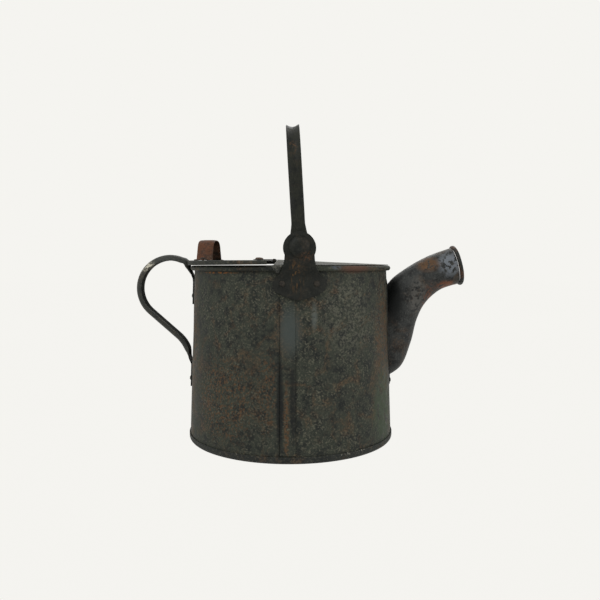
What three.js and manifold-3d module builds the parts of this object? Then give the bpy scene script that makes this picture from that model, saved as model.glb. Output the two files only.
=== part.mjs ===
// Lidded sheet-iron watering can: round tapered body with a wired rim, knocked-up bottom,
// fixed half cover and hinged half lid, side spout, back handle and a swinging bail handle.
// Millimetres, +Z up, origin at the centre of the underside. The spout points along +X,
// the back handle along -X; "right" pieces are on the -Y side and "left" pieces on the +Y side.
import * as THREE from 'three';
import { mergeVertices } from 'three/addons/utils/BufferGeometryUtils.js';
import Module from 'manifold-3d';

const wasm = await Module();
wasm.setup();

// Sheet and fits
const SHEET = 0.8;
const GAP = 0.3;
const MERGE = 1e-4;
const AXIS_SNAP = 0.05;
const ROUND_STEPS = 60;
const WORLD = 600;

// Body: outer radii of the wall, its height to the top of the rim, and its two lapped side seams
const BODY_TOP_R = 112.9;
const BODY_FOOT_R = 119.65;
const RIM_H = 202.5;
const SEAM_ANGLE = 90.7;
const SEAM_LAP = 16;
const BEAD_R = 2.8;
const BEAD_CURL_END = -118;
const CORNER_R = 3.5;
const FLANGE_W = 7;
const PAN_BAND_H = 8.5;

// Lid, cover and the hinge between them
const HINGE_X = -19.1;
const HINGE_Z_ABOVE_RIM = 6.2;
const KNUCKLE_R = 1.8;
const PIN_R = 0.8;
const PIN_HEAD = [1.44, 1];
const HINGE_W = 40;
const LID_KNUCKLE_W = 16;
const LEAF_T = 0.8;
const LEAF_LENGTH = 24;
const EDGE_CLEARANCE = 1.4;
const COVER_PEAK_ABOVE_RIM = 7.1;
const COVER_EDGE_ON_BEAD = 0.6;
const LID_R = 121;
const LID_CROWN = 0.5;
const LID_TOP_ABOVE_RIM = 5.9;
const LID_SKIRT = 2.6;
const LEAF_RIVET_INSET = 18.3;
const LID_LEAF_RIVET_Y = 14;
const COVER_LEAF_RIVET_Y = 8;
const COVER_LEAF_RIVET_X = 14;

// Corner tabs of the cover, folded down outside the rim in front of each ear
const TAB_TOP_X = -19;
const TAB_TIP_W = 1.2;
const TAB_DROP = 7.6;
const TAB_EAR_GAP = 0.6;

// Lifting strap on the lid
const STRAP_X = -97;
const STRAP_W = 18.8;
const STRAP_T = 1.2;
const STRAP_HALF_SPAN = 23.5;
const STRAP_FOOT = 13;
const STRAP_RISE = 24;
const STRAP_BEND = 3;
const STRAP_LEAN = 3.5;
const STRAP_SHOULDER = 12;
const STRAP_TURN = 5;
const STRAP_RIVET_SHARE = 0.62;

// Ears: bell-shaped plates riveted to the wall, with the bail pivot in their heads
const EAR_X = 10.6;
const EAR_T = 2.6;
const PIVOT_ABOVE_RIM = 19;
const EAR_HEAD_R = 16.5;
const EAR_HEAD_DROP = 1;
const EAR_FOOT_DROP = 34.5;
const EAR_RIVET_X = 17.5;
const EAR_RIVET_DROP = 18;
const EAR_JOG_LOW = 13;
const EAR_JOG_HIGH = 3;
// Rows of the ear from its foot to its neck: height over the foot at the edge and at the middle,
// and half width
const EAR_ROWS = [
  [8, 0, 23.5],
  [10.5, 3, 26.2],
  [16.6, 10, 27.6],
  [22.5, 19, 25],
  [27, 25.5, 20.4],
  [33, 32.5, 17],
  [40.5, 40.5, 15.3],
];

// Bail handle: a gutter strip with flat eyes
const BAIL_W = 14.9;
const BAIL_T = 1.4;
const BAIL_GUTTER = 2.6;
const BAIL_EYE_T = 1.6;
const BAIL_EYE_R = 13.8;
const BAIL_NECK = 27;
const BAIL_RISE = 126.6;
const BAIL_CORNER_R = 46;
const BAIL_GUTTER_START = 20;
const BAIL_LEAN = 3.3;
const BAIL_RIM_GAP = 0.7;
const BAIL_EAR_GAP = 0.4;
const PIVOT_R = 4;
const PIVOT_HEAD_R = 11;
const PIVOT_HEAD_H = 4.4;
const PIVOT_TAIL_R = 6;
const PIVOT_TAIL_H = 1.6;
const WASHER_R = 8;
const WASHER_T = 1.2;

// Back handle: a half-round hollow loop with flattened, riveted ends
const HANDLE_W = 18;
const HANDLE_T = 7.3;
const HANDLE_SHELL = 1.2;
const HANDLE_LOOP_R = 36.5;
const HANDLE_LOOP_OUT = 30.6;
const HANDLE_LOOP_DROP = 27.5;
const HANDLE_LOOP_START = 68;
const HANDLE_LOOP_END = 226;
const HANDLE_FOOT_Z = 95;
const HANDLE_TAB_T = 2;
const HANDLE_LOW_TAB_Z = 58.5;
const HANDLE_LOW_RIVET_Z = 67.4;
const HANDLE_TOP_TAB_DROP = 46;
const HANDLE_TOP_LEAVE_DROP = 18.5;
const HANDLE_TOP_RIVET_DROP = 36;
const HANDLE_LID_GAP = 0.8;
const HANDLE_STRAP_T = 2.7;
const HANDLE_STRAP_DROP = 1;
const HANDLE_STRAP_LIFT = 0.4;
const HANDLE_BEND = [12, 22.5];
const HANDLE_BEND_PULL = [2.5, 13];
const HANDLE_TIE_OVER = [1.4, 3.45];
const HANDLE_TIE_UNDER = [-0.6, -1.5];
const HANDLE_STEP_Z = 90;
const HANDLE_STEP_OUT = 5.4;

// Spout: two half shells on a shaped root, with a wired mouth
const SPOUT_REACH = 82;
const SPOUT_FOOT_Z = 69.7;
const SPOUT_MOUTH_DROP = 0.4;
const SPOUT_MOUTH_R = 21.7;
const SPOUT_MOUTH_TILT = 12.9;
const SPOUT_STEPS = 22;
const SPOUT_SIDES = 20;
const LIP_STEPS = 32;
const SPOUT_LIP_R = 2.3;
// Stations from the mouth to the root: reach and rise as parts of the whole, half height,
// half width and backward lean in degrees
const SPOUT_STATIONS = [
  [1, 1, SPOUT_MOUTH_R, SPOUT_MOUTH_R, SPOUT_MOUTH_TILT],
  [0.71, 0.937, 21.3, 21.2, 19.2],
  [0.44, 0.821, 23.6, 22, 29.2],
  [0.25, 0.676, 27.9, 22.6, 37],
  [0.116, 0.459, 29, 22.5, 47.8],
  [0.01, 0.208, 23.9, 20.5, 51.8],
  [-0.095, 0.032, 9.2, 9, 49.4],
];
const FLANGE_MARGIN = 5;
const FLANGE_TAIL = 10;
const FLANGE_RIVET_DROP = 4.6;

// Rivets: [shank radius, head radius, head height]
const SMALL_RIVET = [1.5, 3.2, 1.8];
const LID_RIVET = [1.5, 4.2, 2.2];
const TAIL_H = 0.9;
const RIVET_SIDES = 12;
const WIRE_SIDES = 6;

// Finishes
const DARK_IRON = { color: 0x34362f, roughness: 0.62, metalness: 0.75 };
const WORN_IRON = { color: 0x42443b, roughness: 0.66, metalness: 0.6 };
const BLACK_IRON = { color: 0x26261f, roughness: 0.58, metalness: 0.75 };
const RUSTY_IRON = { color: 0x4a2f22, roughness: 0.8, metalness: 0.35 };
const RIVET_IRON = { color: 0x39342c, roughness: 0.6, metalness: 0.7 };

// Derived places
const BEAD_Z = RIM_H - BEAD_R;
const BEAD_MID_R = BODY_TOP_R - SHEET + BEAD_R;
const BEAD_OUT_R = BEAD_MID_R + BEAD_R;
const CORNER_Z = CORNER_R;
const HINGE_Z = RIM_H + HINGE_Z_ABOVE_RIM;
const PIVOT_Z = RIM_H + PIVOT_ABOVE_RIM;
const LID_TOP_Z = RIM_H + LID_TOP_ABOVE_RIM;
const LID_EDGE_X = HINGE_X - KNUCKLE_R - EDGE_CLEARANCE;
const COVER_EDGE_X = HINGE_X + KNUCKLE_R + EDGE_CLEARANCE;
const LAP_ANGLE = THREE.MathUtils.radToDeg(SEAM_LAP / BODY_FOOT_R);
const LAP_STEP = SHEET + GAP;
const BAIL_IN_Y = BEAD_OUT_R + BAIL_RIM_GAP;
const EAR_IN_Y = BAIL_IN_Y + BAIL_EYE_T + BAIL_EAR_GAP;
const EAR_OUT_Y = EAR_IN_Y + EAR_T;
const SPOUT_RISE = RIM_H - SPOUT_MOUTH_DROP - SPOUT_FOOT_Z;

const radians = THREE.MathUtils.degToRad;
const point = (x, y) => new THREE.Vector2(x, y);
const direction = (x, y, z) => new THREE.Vector3(x, y, z).normalize();
const SIDES = [['right', -1], ['left', 1]];

function wallRadius(z) {
  const share = (z - CORNER_Z) / (BEAD_Z - CORNER_Z);
  return BODY_FOOT_R + (BODY_TOP_R - BODY_FOOT_R) * share;
}

function arc(x, y, radius, from, to, steps) {
  const points = [];
  for (let i = 0; i <= steps; i += 1) {
    const angle = radians(from + (to - from) * i / steps);
    points.push(point(x + radius * Math.cos(angle), y + radius * Math.sin(angle)));
  }
  return points;
}

// Closed outline of a sheet whose middle line is the open path
function thicken(path, thickness) {
  const left = [];
  const right = [];
  path.forEach((here, i) => {
    const before = i > 0 ? here.clone().sub(path[i - 1]) : path[1].clone().sub(here);
    const after = i < path.length - 1 ? path[i + 1].clone().sub(here) : before.clone();
    const first = point(-before.y, before.x).normalize();
    const second = point(-after.y, after.x).normalize();
    const miter = first.clone().add(second).normalize();
    miter.multiplyScalar(thickness / 2 / miter.dot(first));
    left.push(here.clone().add(miter));
    right.push(here.clone().sub(miter));
  });
  return [...left, ...right.reverse()];
}

function signedVolume(positions, faces) {
  const corners = [0, 1, 2].map(() => new THREE.Vector3());
  let total = 0;
  for (let i = 0; i < faces.length; i += 3) {
    corners.forEach((corner, k) => corner.fromArray(positions, faces[i + k] * 3));
    total += corners[0].dot(corners[1].clone().cross(corners[2]));
  }
  return total / 6;
}

// A solid for joining and cutting, from any closed three.js geometry
function solidOf(geometry) {
  const bare = new THREE.BufferGeometry();
  bare.setAttribute('position', geometry.getAttribute('position'));
  bare.setIndex(geometry.index);
  const merged = mergeVertices(bare, MERGE);
  const positions = merged.getAttribute('position').array;
  const index = merged.index.array;
  const faces = [];
  for (let i = 0; i < index.length; i += 3) {
    const [a, b, c] = [index[i], index[i + 1], index[i + 2]];
    if (a !== b && b !== c && c !== a) faces.push(a, b, c);
  }
  if (signedVolume(positions, faces) < 0) faces.reverse();
  return new wasm.Manifold(new wasm.Mesh({
    numProp: 3,
    vertProperties: new Float32Array(positions),
    triVerts: new Uint32Array(faces),
  }));
}

function geometryOf(solid) {
  const mesh = solid.getMesh();
  const geometry = new THREE.BufferGeometry();
  geometry.setAttribute('position', new THREE.BufferAttribute(mesh.vertProperties, 3));
  geometry.setIndex(new THREE.BufferAttribute(mesh.triVerts, 1));
  geometry.computeVertexNormals();
  return geometry;
}

function joined(solids) {
  return solids.reduce((whole, solid) => whole.add(solid));
}

function cutBy(solid, tools) {
  return tools.reduce((rest, tool) => rest.subtract(tool), solid);
}

// Ring or disc turned about the Z axis from a closed outline of (radius, z) points
function turned(outline, steps = ROUND_STEPS) {
  const onAxis = outline.map((spot) => (spot.x < AXIS_SNAP ? point(0, spot.y) : spot));
  const geometry = new THREE.LatheGeometry([...onAxis, onAxis[0]], steps);
  geometry.rotateX(Math.PI / 2);
  return geometry;
}

function turnedSheet(path, thickness = SHEET) {
  return solidOf(turned(thicken(path, thickness)));
}

// Flat outline in the XZ plane, extruded along Y from one place to another
function slab(outline, fromY, toY) {
  const shape = outline instanceof THREE.Shape ? outline : new THREE.Shape(outline);
  const geometry = new THREE.ExtrudeGeometry(shape, { depth: toY - fromY, bevelEnabled: false });
  geometry.rotateX(Math.PI / 2);
  geometry.translate(0, toY, 0);
  return geometry;
}

function block(low, high) {
  const size = high.map((value, k) => value - low[k]);
  const geometry = new THREE.BoxGeometry(...size);
  geometry.translate(...low.map((value, k) => value + size[k] / 2));
  return solidOf(geometry);
}

// Wedge of space about the Z axis between two angles, for cutting a turned ring into sectors
function wedge(from, to) {
  const outline = [point(0, 0), ...arc(0, 0, WORLD, from, to, 24)];
  const geometry = new THREE.ExtrudeGeometry(new THREE.Shape(outline), { depth: WORLD, bevelEnabled: false });
  geometry.translate(0, 0, -WORLD / 4);
  return solidOf(geometry);
}

// Section swept along a flat path: section x lies across, section y to the left of travel
function swept(path, section, steps) {
  const along = path.getSpacedPoints(steps).map((spot) => new THREE.Vector3(spot.x, spot.y, 0));
  const curve = new THREE.CatmullRomCurve3(along);
  return new THREE.ExtrudeGeometry(new THREE.Shape(section), {
    steps,
    extrudePath: curve,
    bevelEnabled: false,
  });
}

// Closed skin over rows of points: each row is an open line on the face and the last argument
// gives the matching point on the back
function skinned(rows, backOf) {
  const columns = rows[0].length;
  const faces = rows.flat();
  const backs = faces.map(backOf);
  const positions = [...faces, ...backs].flatMap((spot) => spot.toArray());
  const index = [];
  const quad = (a, b, c, d) => index.push(a, b, c, a, c, d);
  const at = (row, column) => row * columns + column;
  const behind = faces.length;
  const last = rows.length - 1;
  for (let row = 0; row < last; row += 1) {
    for (let column = 0; column < columns - 1; column += 1) {
      const corners = [at(row, column), at(row, column + 1), at(row + 1, column + 1), at(row + 1, column)];
      quad(...corners);
      quad(...corners.map((corner) => corner + behind).reverse());
    }
    const [start, end] = [at(row, 0), at(row, columns - 1)];
    quad(start + columns, start + columns + behind, start + behind, start);
    quad(end, end + behind, end + columns + behind, end + columns);
  }
  for (let column = 0; column < columns - 1; column += 1) {
    const [low, high] = [at(0, column), at(last, column)];
    quad(low, low + behind, low + 1 + behind, low + 1);
    quad(high + 1, high + 1 + behind, high + behind, high);
  }
  const geometry = new THREE.BufferGeometry();
  geometry.setAttribute('position', new THREE.Float32BufferAttribute(positions, 3));
  geometry.setIndex(index);
  return geometry;
}

// Turn a piece made about +Z so that it points along a direction from a place
function aimed(geometry, place, along) {
  const turn = new THREE.Quaternion().setFromUnitVectors(new THREE.Vector3(0, 0, 1), along);
  return geometry.applyQuaternion(turn).translate(place.x, place.y, place.z);
}

function rivet(place, along, grip, [shankR, headR, headH], tailR = headR * 0.8, tailH = TAIL_H) {
  const head = arc(0, GAP, 1, 0, 90, 3).map((spot) => point(spot.x * headR, GAP + (spot.y - GAP) * headH));
  const outline = [
    point(0, -grip - GAP - tailH),
    point(tailR * 0.8, -grip - GAP - tailH),
    point(tailR, -grip - GAP - tailH / 2),
    point(tailR, -grip - GAP),
    point(shankR, -grip - GAP),
    point(shankR, GAP),
    ...head,
  ];
  return solidOf(aimed(turned(outline, RIVET_SIDES), place, along));
}

function drill(place, along, radius) {
  const geometry = new THREE.CylinderGeometry(radius + GAP, radius + GAP, WORLD / 30, RIVET_SIDES);
  geometry.rotateX(Math.PI / 2);
  return solidOf(aimed(geometry, place, along));
}

// ---- Body -------------------------------------------------------------------------------

function wallPath(from, to, offset) {
  return [from, to].map((z) => point(wallRadius(z) - SHEET / 2 + offset, z));
}

function wallAndRimPath() {
  const inset = CORNER_R - SHEET - GAP - SHEET / 2;
  const cornerR = wallRadius(CORNER_Z) - SHEET / 2 - inset;
  const corner = arc(cornerR, CORNER_Z, inset, -90, 0, 3);
  const curl = arc(BEAD_MID_R, BEAD_Z, BEAD_R - SHEET / 2, 180, BEAD_CURL_END, 8);
  return [point(cornerR - FLANGE_W, corner[0].y), ...corner, ...curl];
}

function lapSheet(seam) {
  const from = PAN_BAND_H + 2 * GAP;
  const to = BEAD_Z - BEAD_R - 2 * GAP;
  const lap = turnedSheet(wallPath(from, to, LAP_STEP));
  const step = turnedSheet(wallPath(from, to, LAP_STEP / 2), SHEET + LAP_STEP);
  const outer = seam * (SEAM_ANGLE + LAP_ANGLE / 2 + 2 * stepAngle());
  const inner = seam * (SEAM_ANGLE - LAP_ANGLE / 2);
  const join = seam * (SEAM_ANGLE + LAP_ANGLE / 2 + stepAngle() / 2);
  const sorted = (a, b) => (a < b ? wedge(a, b) : wedge(b, a));
  return lap.intersect(sorted(inner, outer)).add(step.intersect(sorted(join, outer)));
}

function stepAngle() {
  return THREE.MathUtils.radToDeg((SHEET + GAP) / BODY_FOOT_R);
}

function bodySheets(opening) {
  const whole = turnedSheet(wallAndRimPath());
  const edge = SEAM_ANGLE + LAP_ANGLE / 2;
  const front = whole.intersect(wedge(-edge, edge)).subtract(opening);
  const back = whole.intersect(wedge(edge + stepAngle() / 2, 360 - edge - stepAngle() / 2));
  return { front, back: joined([back, ...SIDES.map(([, side]) => lapSheet(side))]) };
}

function rimWire() {
  const radius = BEAD_R - SHEET - GAP;
  return solidOf(new THREE.TorusGeometry(BEAD_MID_R, radius, WIRE_SIDES, ROUND_STEPS).translate(0, 0, BEAD_Z));
}

function bottomPan() {
  const outer = wallRadius(CORNER_Z) + GAP + SHEET / 2;
  const bend = CORNER_R - SHEET / 2;
  const path = [
    point(0, SHEET / 2),
    ...arc(outer - bend, CORNER_Z, bend, -90, 0, 4),
    point(wallRadius(PAN_BAND_H) + GAP + SHEET / 2, PAN_BAND_H),
  ];
  return solidOf(turned(thicken(path, SHEET)));
}

// ---- Cover, lid and hinge ---------------------------------------------------------------

function coverSheet() {
  const rimR = BEAD_MID_R + COVER_EDGE_ON_BEAD;
  const reach = THREE.MathUtils.radToDeg(Math.acos(COVER_EDGE_X / rimR));
  const peak = new THREE.Vector3(COVER_EDGE_X, 0, RIM_H + COVER_PEAK_ABOVE_RIM);
  const rim = arc(0, 0, rimR, -reach, reach, ROUND_STEPS / 2);
  const edge = rim.map((spot) => new THREE.Vector3(spot.x, spot.y, RIM_H + GAP + SHEET));
  const fan = skinned([edge.map(() => peak), edge], (spot) => spot.clone().setZ(spot.z - SHEET));
  return solidOf(fan);
}

// Folded corner of the cover that goes over the rim bead and stops short of the ear
function coverTab(side) {
  const outer = BEAD_OUT_R + GAP + SHEET / 2;
  const bend = 1;
  const path = [
    point(BEAD_MID_R - 2 * BEAD_R, RIM_H + GAP + SHEET),
    point(BEAD_MID_R, RIM_H + GAP + SHEET / 2),
    point(outer - bend, RIM_H + GAP),
    point(outer, BEAD_Z),
    point(outer, RIM_H - TAB_DROP),
  ];
  const above = RIM_H + BEAD_R;
  const earEdge = EAR_ROWS.slice(4, 6).map(([edge, , half]) => (
    point(EAR_X - half - TAB_EAR_GAP, RIM_H - EAR_FOOT_DROP + edge)
  ));
  const outline = [
    point(COVER_EDGE_X, above),
    point(TAB_TOP_X, RIM_H),
    point(earEdge[0].x - TAB_TIP_W, RIM_H - TAB_DROP),
    ...earEdge,
    point(earEdge.at(-1).x, above),
  ];
  const reach = side < 0 ? [-WORLD, 0] : [0, WORLD];
  return turnedSheet(path).intersect(solidOf(slab(outline, ...reach)));
}

function lidSheet() {
  const bend = 1.4;
  const top = LID_TOP_Z - SHEET / 2;
  const outer = LID_R - SHEET / 2;
  const path = [
    point(0, top + LID_CROWN),
    ...arc(outer - bend, top - bend, bend, 90, 0, 3),
    point(outer, LID_TOP_Z - LID_SKIRT),
  ];
  const keep = block([-WORLD, -WORLD, 0], [LID_EDGE_X, WORLD, WORLD]);
  return turnedSheet(path).intersect(keep);
}

function lidSurface(x, y = 0) {
  return LID_TOP_Z + LID_CROWN * (1 - Math.hypot(x, y) / LID_R);
}

function knuckle(fromY, toY) {
  const shape = new THREE.Shape(arc(HINGE_X, HINGE_Z, KNUCKLE_R, 0, 360, 16).slice(1));
  shape.holes.push(new THREE.Path(arc(HINGE_X, HINGE_Z, PIN_R + GAP, 0, 360, 12).slice(1)));
  return solidOf(slab(shape, fromY, toY));
}

function lidLeaf() {
  const low = lidSurface(LID_EDGE_X) + GAP;
  const plate = block(
    [HINGE_X - LEAF_LENGTH, -HINGE_W / 2, low],
    [HINGE_X - KNUCKLE_R - GAP, HINGE_W / 2, low + LEAF_T],
  );
  const tongue = block(
    [HINGE_X - KNUCKLE_R - 1, -LID_KNUCKLE_W / 2, low],
    [HINGE_X - PIN_R - GAP - 0.1, LID_KNUCKLE_W / 2, low + LEAF_T],
  );
  return joined([plate, tongue, knuckle(-LID_KNUCKLE_W / 2, LID_KNUCKLE_W / 2)]);
}

function coverLeaf() {
  const low = HINGE_Z - KNUCKLE_R - LEAF_T;
  const start = LID_KNUCKLE_W / 2 + GAP;
  const plate = block(
    [HINGE_X + KNUCKLE_R + GAP, -HINGE_W / 2, low],
    [HINGE_X + LEAF_LENGTH, HINGE_W / 2, low + LEAF_T],
  );
  const pieces = [[-HINGE_W / 2, -start], [start, HINGE_W / 2]].flatMap(([fromY, toY]) => [
    knuckle(fromY, toY),
    block([HINGE_X, fromY, low], [HINGE_X + KNUCKLE_R + 1, toY, low + LEAF_T]),
    block([HINGE_X - LEAF_T / 2, fromY, low], [HINGE_X + LEAF_T / 2, toY, HINGE_Z - PIN_R - GAP]),
  ]);
  return joined([plate, ...pieces]);
}

function hingePin() {
  const half = HINGE_W / 2 + GAP;
  const [headR, headH] = PIN_HEAD;
  const outline = [
    point(0, -half - headH),
    point(headR, -half - headH),
    point(headR, -half),
    point(PIN_R, -half),
    point(PIN_R, half),
    point(headR, half),
    point(headR, half + headH),
    point(0, half + headH),
  ];
  return solidOf(aimed(turned(outline, 12), new THREE.Vector3(HINGE_X, 0, HINGE_Z), direction(0, 1, 0)));
}

function liftStrap() {
  const low = lidSurface(STRAP_X) + GAP + STRAP_T / 2;
  const top = low + STRAP_RISE - STRAP_T;
  const half = STRAP_HALF_SPAN;
  const bend = STRAP_BEND;
  const lean = STRAP_LEAN;
  const shoulder = STRAP_SHOULDER;
  const path = new THREE.Path();
  path.moveTo(-half - STRAP_FOOT, low);
  path.lineTo(-half - bend, low);
  path.quadraticCurveTo(-half, low, -half, low + bend);
  path.lineTo(-half + lean, top - shoulder);
  path.bezierCurveTo(-half + 2 * lean, top, -half + shoulder, top, 0, top);
  path.bezierCurveTo(half - shoulder, top, half - 2 * lean, top, half - lean, top - shoulder);
  path.lineTo(half, low + bend);
  path.quadraticCurveTo(half, low, half + bend, low);
  path.lineTo(half + STRAP_FOOT, low);
  const section = thicken([point(-STRAP_W / 2, 0), point(STRAP_W / 2, 0)], STRAP_T);
  const geometry = swept(path, section, 44);
  geometry.rotateX(Math.PI / 2);
  geometry.rotateZ(Math.PI / 2 - radians(STRAP_TURN));
  geometry.translate(STRAP_X, 0, 0);
  return solidOf(geometry);
}

function strapRivetPlace(side) {
  const out = STRAP_HALF_SPAN + STRAP_FOOT * STRAP_RIVET_SHARE;
  const x = STRAP_X + side * out * Math.sin(radians(STRAP_TURN));
  const y = side * out * Math.cos(radians(STRAP_TURN));
  return new THREE.Vector3(x, y, lidSurface(STRAP_X) + GAP + STRAP_T);
}

// ---- Ears and bail ----------------------------------------------------------------------

function earInnerY(x, z) {
  const share = (z - RIM_H + EAR_JOG_LOW) / (EAR_JOG_LOW + EAR_JOG_HIGH);
  const blend = THREE.MathUtils.smoothstep(share, 0, 1);
  const low = wallRadius(Math.min(z, BEAD_Z)) + LAP_STEP + GAP;
  return THREE.MathUtils.lerp(Math.sqrt(low * low - x * x), EAR_IN_Y, blend);
}

function earRows() {
  const foot = RIM_H - EAR_FOOT_DROP;
  const headZ = PIVOT_Z - EAR_HEAD_DROP;
  const neckZ = foot + EAR_ROWS.at(-1)[0];
  const lean = THREE.MathUtils.radToDeg(Math.asin((neckZ + 5 - headZ) / EAR_HEAD_R));
  const head = arc(0, headZ, EAR_HEAD_R, lean, 88, 8).map((spot) => [spot.y, spot.y, spot.x]);
  const body = EAR_ROWS.map(([edge, middle, half]) => [foot + edge, foot + middle, half]);
  return [...body, ...head];
}

function earPlate(side) {
  const columns = 8;
  const rows = earRows().map(([edgeZ, middleZ, half]) => {
    const row = [];
    for (let k = 0; k <= columns; k += 1) {
      const share = 2 * k / columns - 1;
      const z = THREE.MathUtils.lerp(middleZ, edgeZ, Math.abs(share) ** 1.5);
      const x = EAR_X + half * share;
      row.push(new THREE.Vector3(x, side * earInnerY(x, z), z));
    }
    return row;
  });
  const pivot = new THREE.Vector3(EAR_X, side * EAR_OUT_Y, PIVOT_Z);
  const plate = solidOf(skinned(rows, (spot) => spot.clone().setY(spot.y + side * EAR_T)));
  return plate.subtract(drill(pivot, direction(0, side, 0), PIVOT_R));
}

function earRivet(side, xSide) {
  const x = EAR_X + xSide * EAR_RIVET_X;
  const z = RIM_H - EAR_RIVET_DROP;
  const outY = earInnerY(x, z) + EAR_T;
  const place = new THREE.Vector3(x, side * outY, z);
  const along = direction(x, side * outY, 0);
  const grip = Math.hypot(x, outY) - wallRadius(z) + SHEET;
  return { place, along, grip };
}

function bailPlate(side) {
  const half = BAIL_W / 2;
  const shape = new THREE.Shape([
    point(-half, BAIL_NECK),
    ...arc(0, 0, BAIL_EYE_R, 135, 405, 22),
    point(half, BAIL_NECK),
  ]);
  shape.holes.push(new THREE.Path(arc(0, 0, PIVOT_R + GAP, 0, 360, RIVET_SIDES).slice(1)));
  const reach = side < 0 ? [-BAIL_IN_Y - BAIL_EYE_T, -BAIL_IN_Y] : [BAIL_IN_Y, BAIL_IN_Y + BAIL_EYE_T];
  return solidOf(slab(shape, ...reach));
}

// The bail stands upright about its own pivot line, so its group can lean and swing
function bailHandle() {
  const legY = BAIL_IN_Y + BAIL_EYE_T / 2;
  const corner = BAIL_CORNER_R;
  const path = new THREE.Path();
  path.moveTo(-legY, BAIL_GUTTER_START);
  path.lineTo(-legY, BAIL_RISE - corner);
  path.absarc(-legY + corner, BAIL_RISE - corner, corner, Math.PI, Math.PI / 2, true);
  path.lineTo(legY - corner, BAIL_RISE);
  path.absarc(legY - corner, BAIL_RISE - corner, corner, Math.PI / 2, 0, true);
  path.lineTo(legY, BAIL_GUTTER_START);
  const gutter = [-1, -0.6, 0, 0.6, 1].map((share) => (
    point(share * (BAIL_W - BAIL_T) / 2, BAIL_GUTTER * share * share)
  ));
  const strip = swept(path, thicken(gutter, BAIL_T), 48);
  strip.rotateX(Math.PI / 2);
  strip.rotateZ(Math.PI / 2);
  return joined([solidOf(strip), bailPlate(-1), bailPlate(1)]);
}

function pivotWasher(side) {
  const y = BAIL_IN_Y - GAP;
  const shape = new THREE.Shape(arc(EAR_X, PIVOT_Z, WASHER_R, 0, 360, 24).slice(1));
  shape.holes.push(new THREE.Path(arc(EAR_X, PIVOT_Z, PIVOT_R + GAP, 0, 360, RIVET_SIDES).slice(1)));
  const reach = side < 0 ? [-y, -y + WASHER_T] : [y - WASHER_T, y];
  return solidOf(slab(shape, ...reach));
}

function pivotRivet(side) {
  const grip = EAR_OUT_Y - BAIL_IN_Y + GAP + WASHER_T;
  const place = new THREE.Vector3(EAR_X, side * EAR_OUT_Y, PIVOT_Z);
  const size = [PIVOT_R, PIVOT_HEAD_R, PIVOT_HEAD_H];
  return rivet(place, direction(0, side, 0), grip, size, PIVOT_TAIL_R, PIVOT_TAIL_H);
}

// ---- Back handle ------------------------------------------------------------------------

function handleCentre() {
  return point(-BODY_TOP_R - HANDLE_LOOP_OUT, RIM_H - HANDLE_LOOP_DROP);
}

function handleLoop() {
  const centre = handleCentre();
  const footX = -wallRadius(HANDLE_FOOT_Z) - GAP - HANDLE_T / 2 - HANDLE_SHELL;
  const loop = arc(centre.x, centre.y, HANDLE_LOOP_R, HANDLE_LOOP_START, HANDLE_LOOP_END, 16);
  const path = new THREE.Path(loop);
  const [bendX, bendZ] = HANDLE_BEND;
  const [pullX, pullZ] = HANDLE_BEND_PULL;
  path.lineTo(footX - bendX, HANDLE_FOOT_Z + bendZ);
  path.quadraticCurveTo(footX - pullX, HANDLE_FOOT_Z + pullZ, footX, HANDLE_FOOT_Z);
  const across = HANDLE_W / 2 - HANDLE_SHELL / 2;
  const crown = arc(0, 0, 1, 0, 180, 6).map((spot) => (
    point(spot.x * across, (spot.y - 0.5) * (HANDLE_T - HANDLE_SHELL))
  ));
  const geometry = swept(path, thicken(crown, HANDLE_SHELL), 36);
  geometry.rotateX(Math.PI / 2);
  return solidOf(geometry);
}

function handleTopStrap() {
  const centre = handleCentre();
  const tabZ = RIM_H - HANDLE_TOP_TAB_DROP;
  const leaveZ = RIM_H - HANDLE_TOP_LEAVE_DROP;
  const beadX = -BEAD_OUT_R - 2 * GAP;
  const lidX = -LID_R - HANDLE_LID_GAP;
  const beadFoot = BEAD_Z - BEAD_R - HANDLE_STRAP_DROP;
  const start = arc(centre.x, centre.y, HANDLE_LOOP_R, HANDLE_LOOP_START, HANDLE_LOOP_START, 1)[0];
  const outline = [
    point(-wallRadius(tabZ) - GAP, tabZ),
    point(-wallRadius(leaveZ) - GAP, leaveZ),
    point(beadX, beadFoot),
    point(beadX, RIM_H),
    point(lidX, LID_TOP_Z - LID_SKIRT - HANDLE_STRAP_LIFT),
    point(lidX, LID_TOP_Z + HANDLE_STRAP_LIFT),
    point(start.x + HANDLE_TIE_OVER[0], start.y + HANDLE_TIE_OVER[1]),
    point(start.x + HANDLE_TIE_UNDER[0], start.y + HANDLE_TIE_UNDER[1]),
    point(lidX - HANDLE_STRAP_T, RIM_H + HANDLE_STRAP_DROP),
    point(beadX - HANDLE_STRAP_T, beadFoot),
    point(-wallRadius(leaveZ) - GAP - HANDLE_TAB_T, leaveZ),
    point(-wallRadius(tabZ) - GAP - HANDLE_TAB_T, tabZ),
  ];
  return solidOf(slab(outline, -HANDLE_W / 2, HANDLE_W / 2));
}

function handleFootTab() {
  const topZ = HANDLE_FOOT_Z + HANDLE_TAB_T;
  const back = (z) => -wallRadius(z) - GAP;
  const outline = [
    point(back(HANDLE_LOW_TAB_Z), HANDLE_LOW_TAB_Z),
    point(back(topZ) - HANDLE_SHELL, topZ),
    point(back(topZ) - HANDLE_STEP_OUT, topZ),
    point(back(HANDLE_STEP_Z) - HANDLE_STEP_OUT, HANDLE_STEP_Z),
    point(back(HANDLE_STEP_Z) - HANDLE_TAB_T, HANDLE_STEP_Z - HANDLE_TAB_T),
    point(back(HANDLE_LOW_TAB_Z) - HANDLE_TAB_T, HANDLE_LOW_TAB_Z),
  ];
  return solidOf(slab(outline, -HANDLE_W / 2, HANDLE_W / 2));
}

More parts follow.
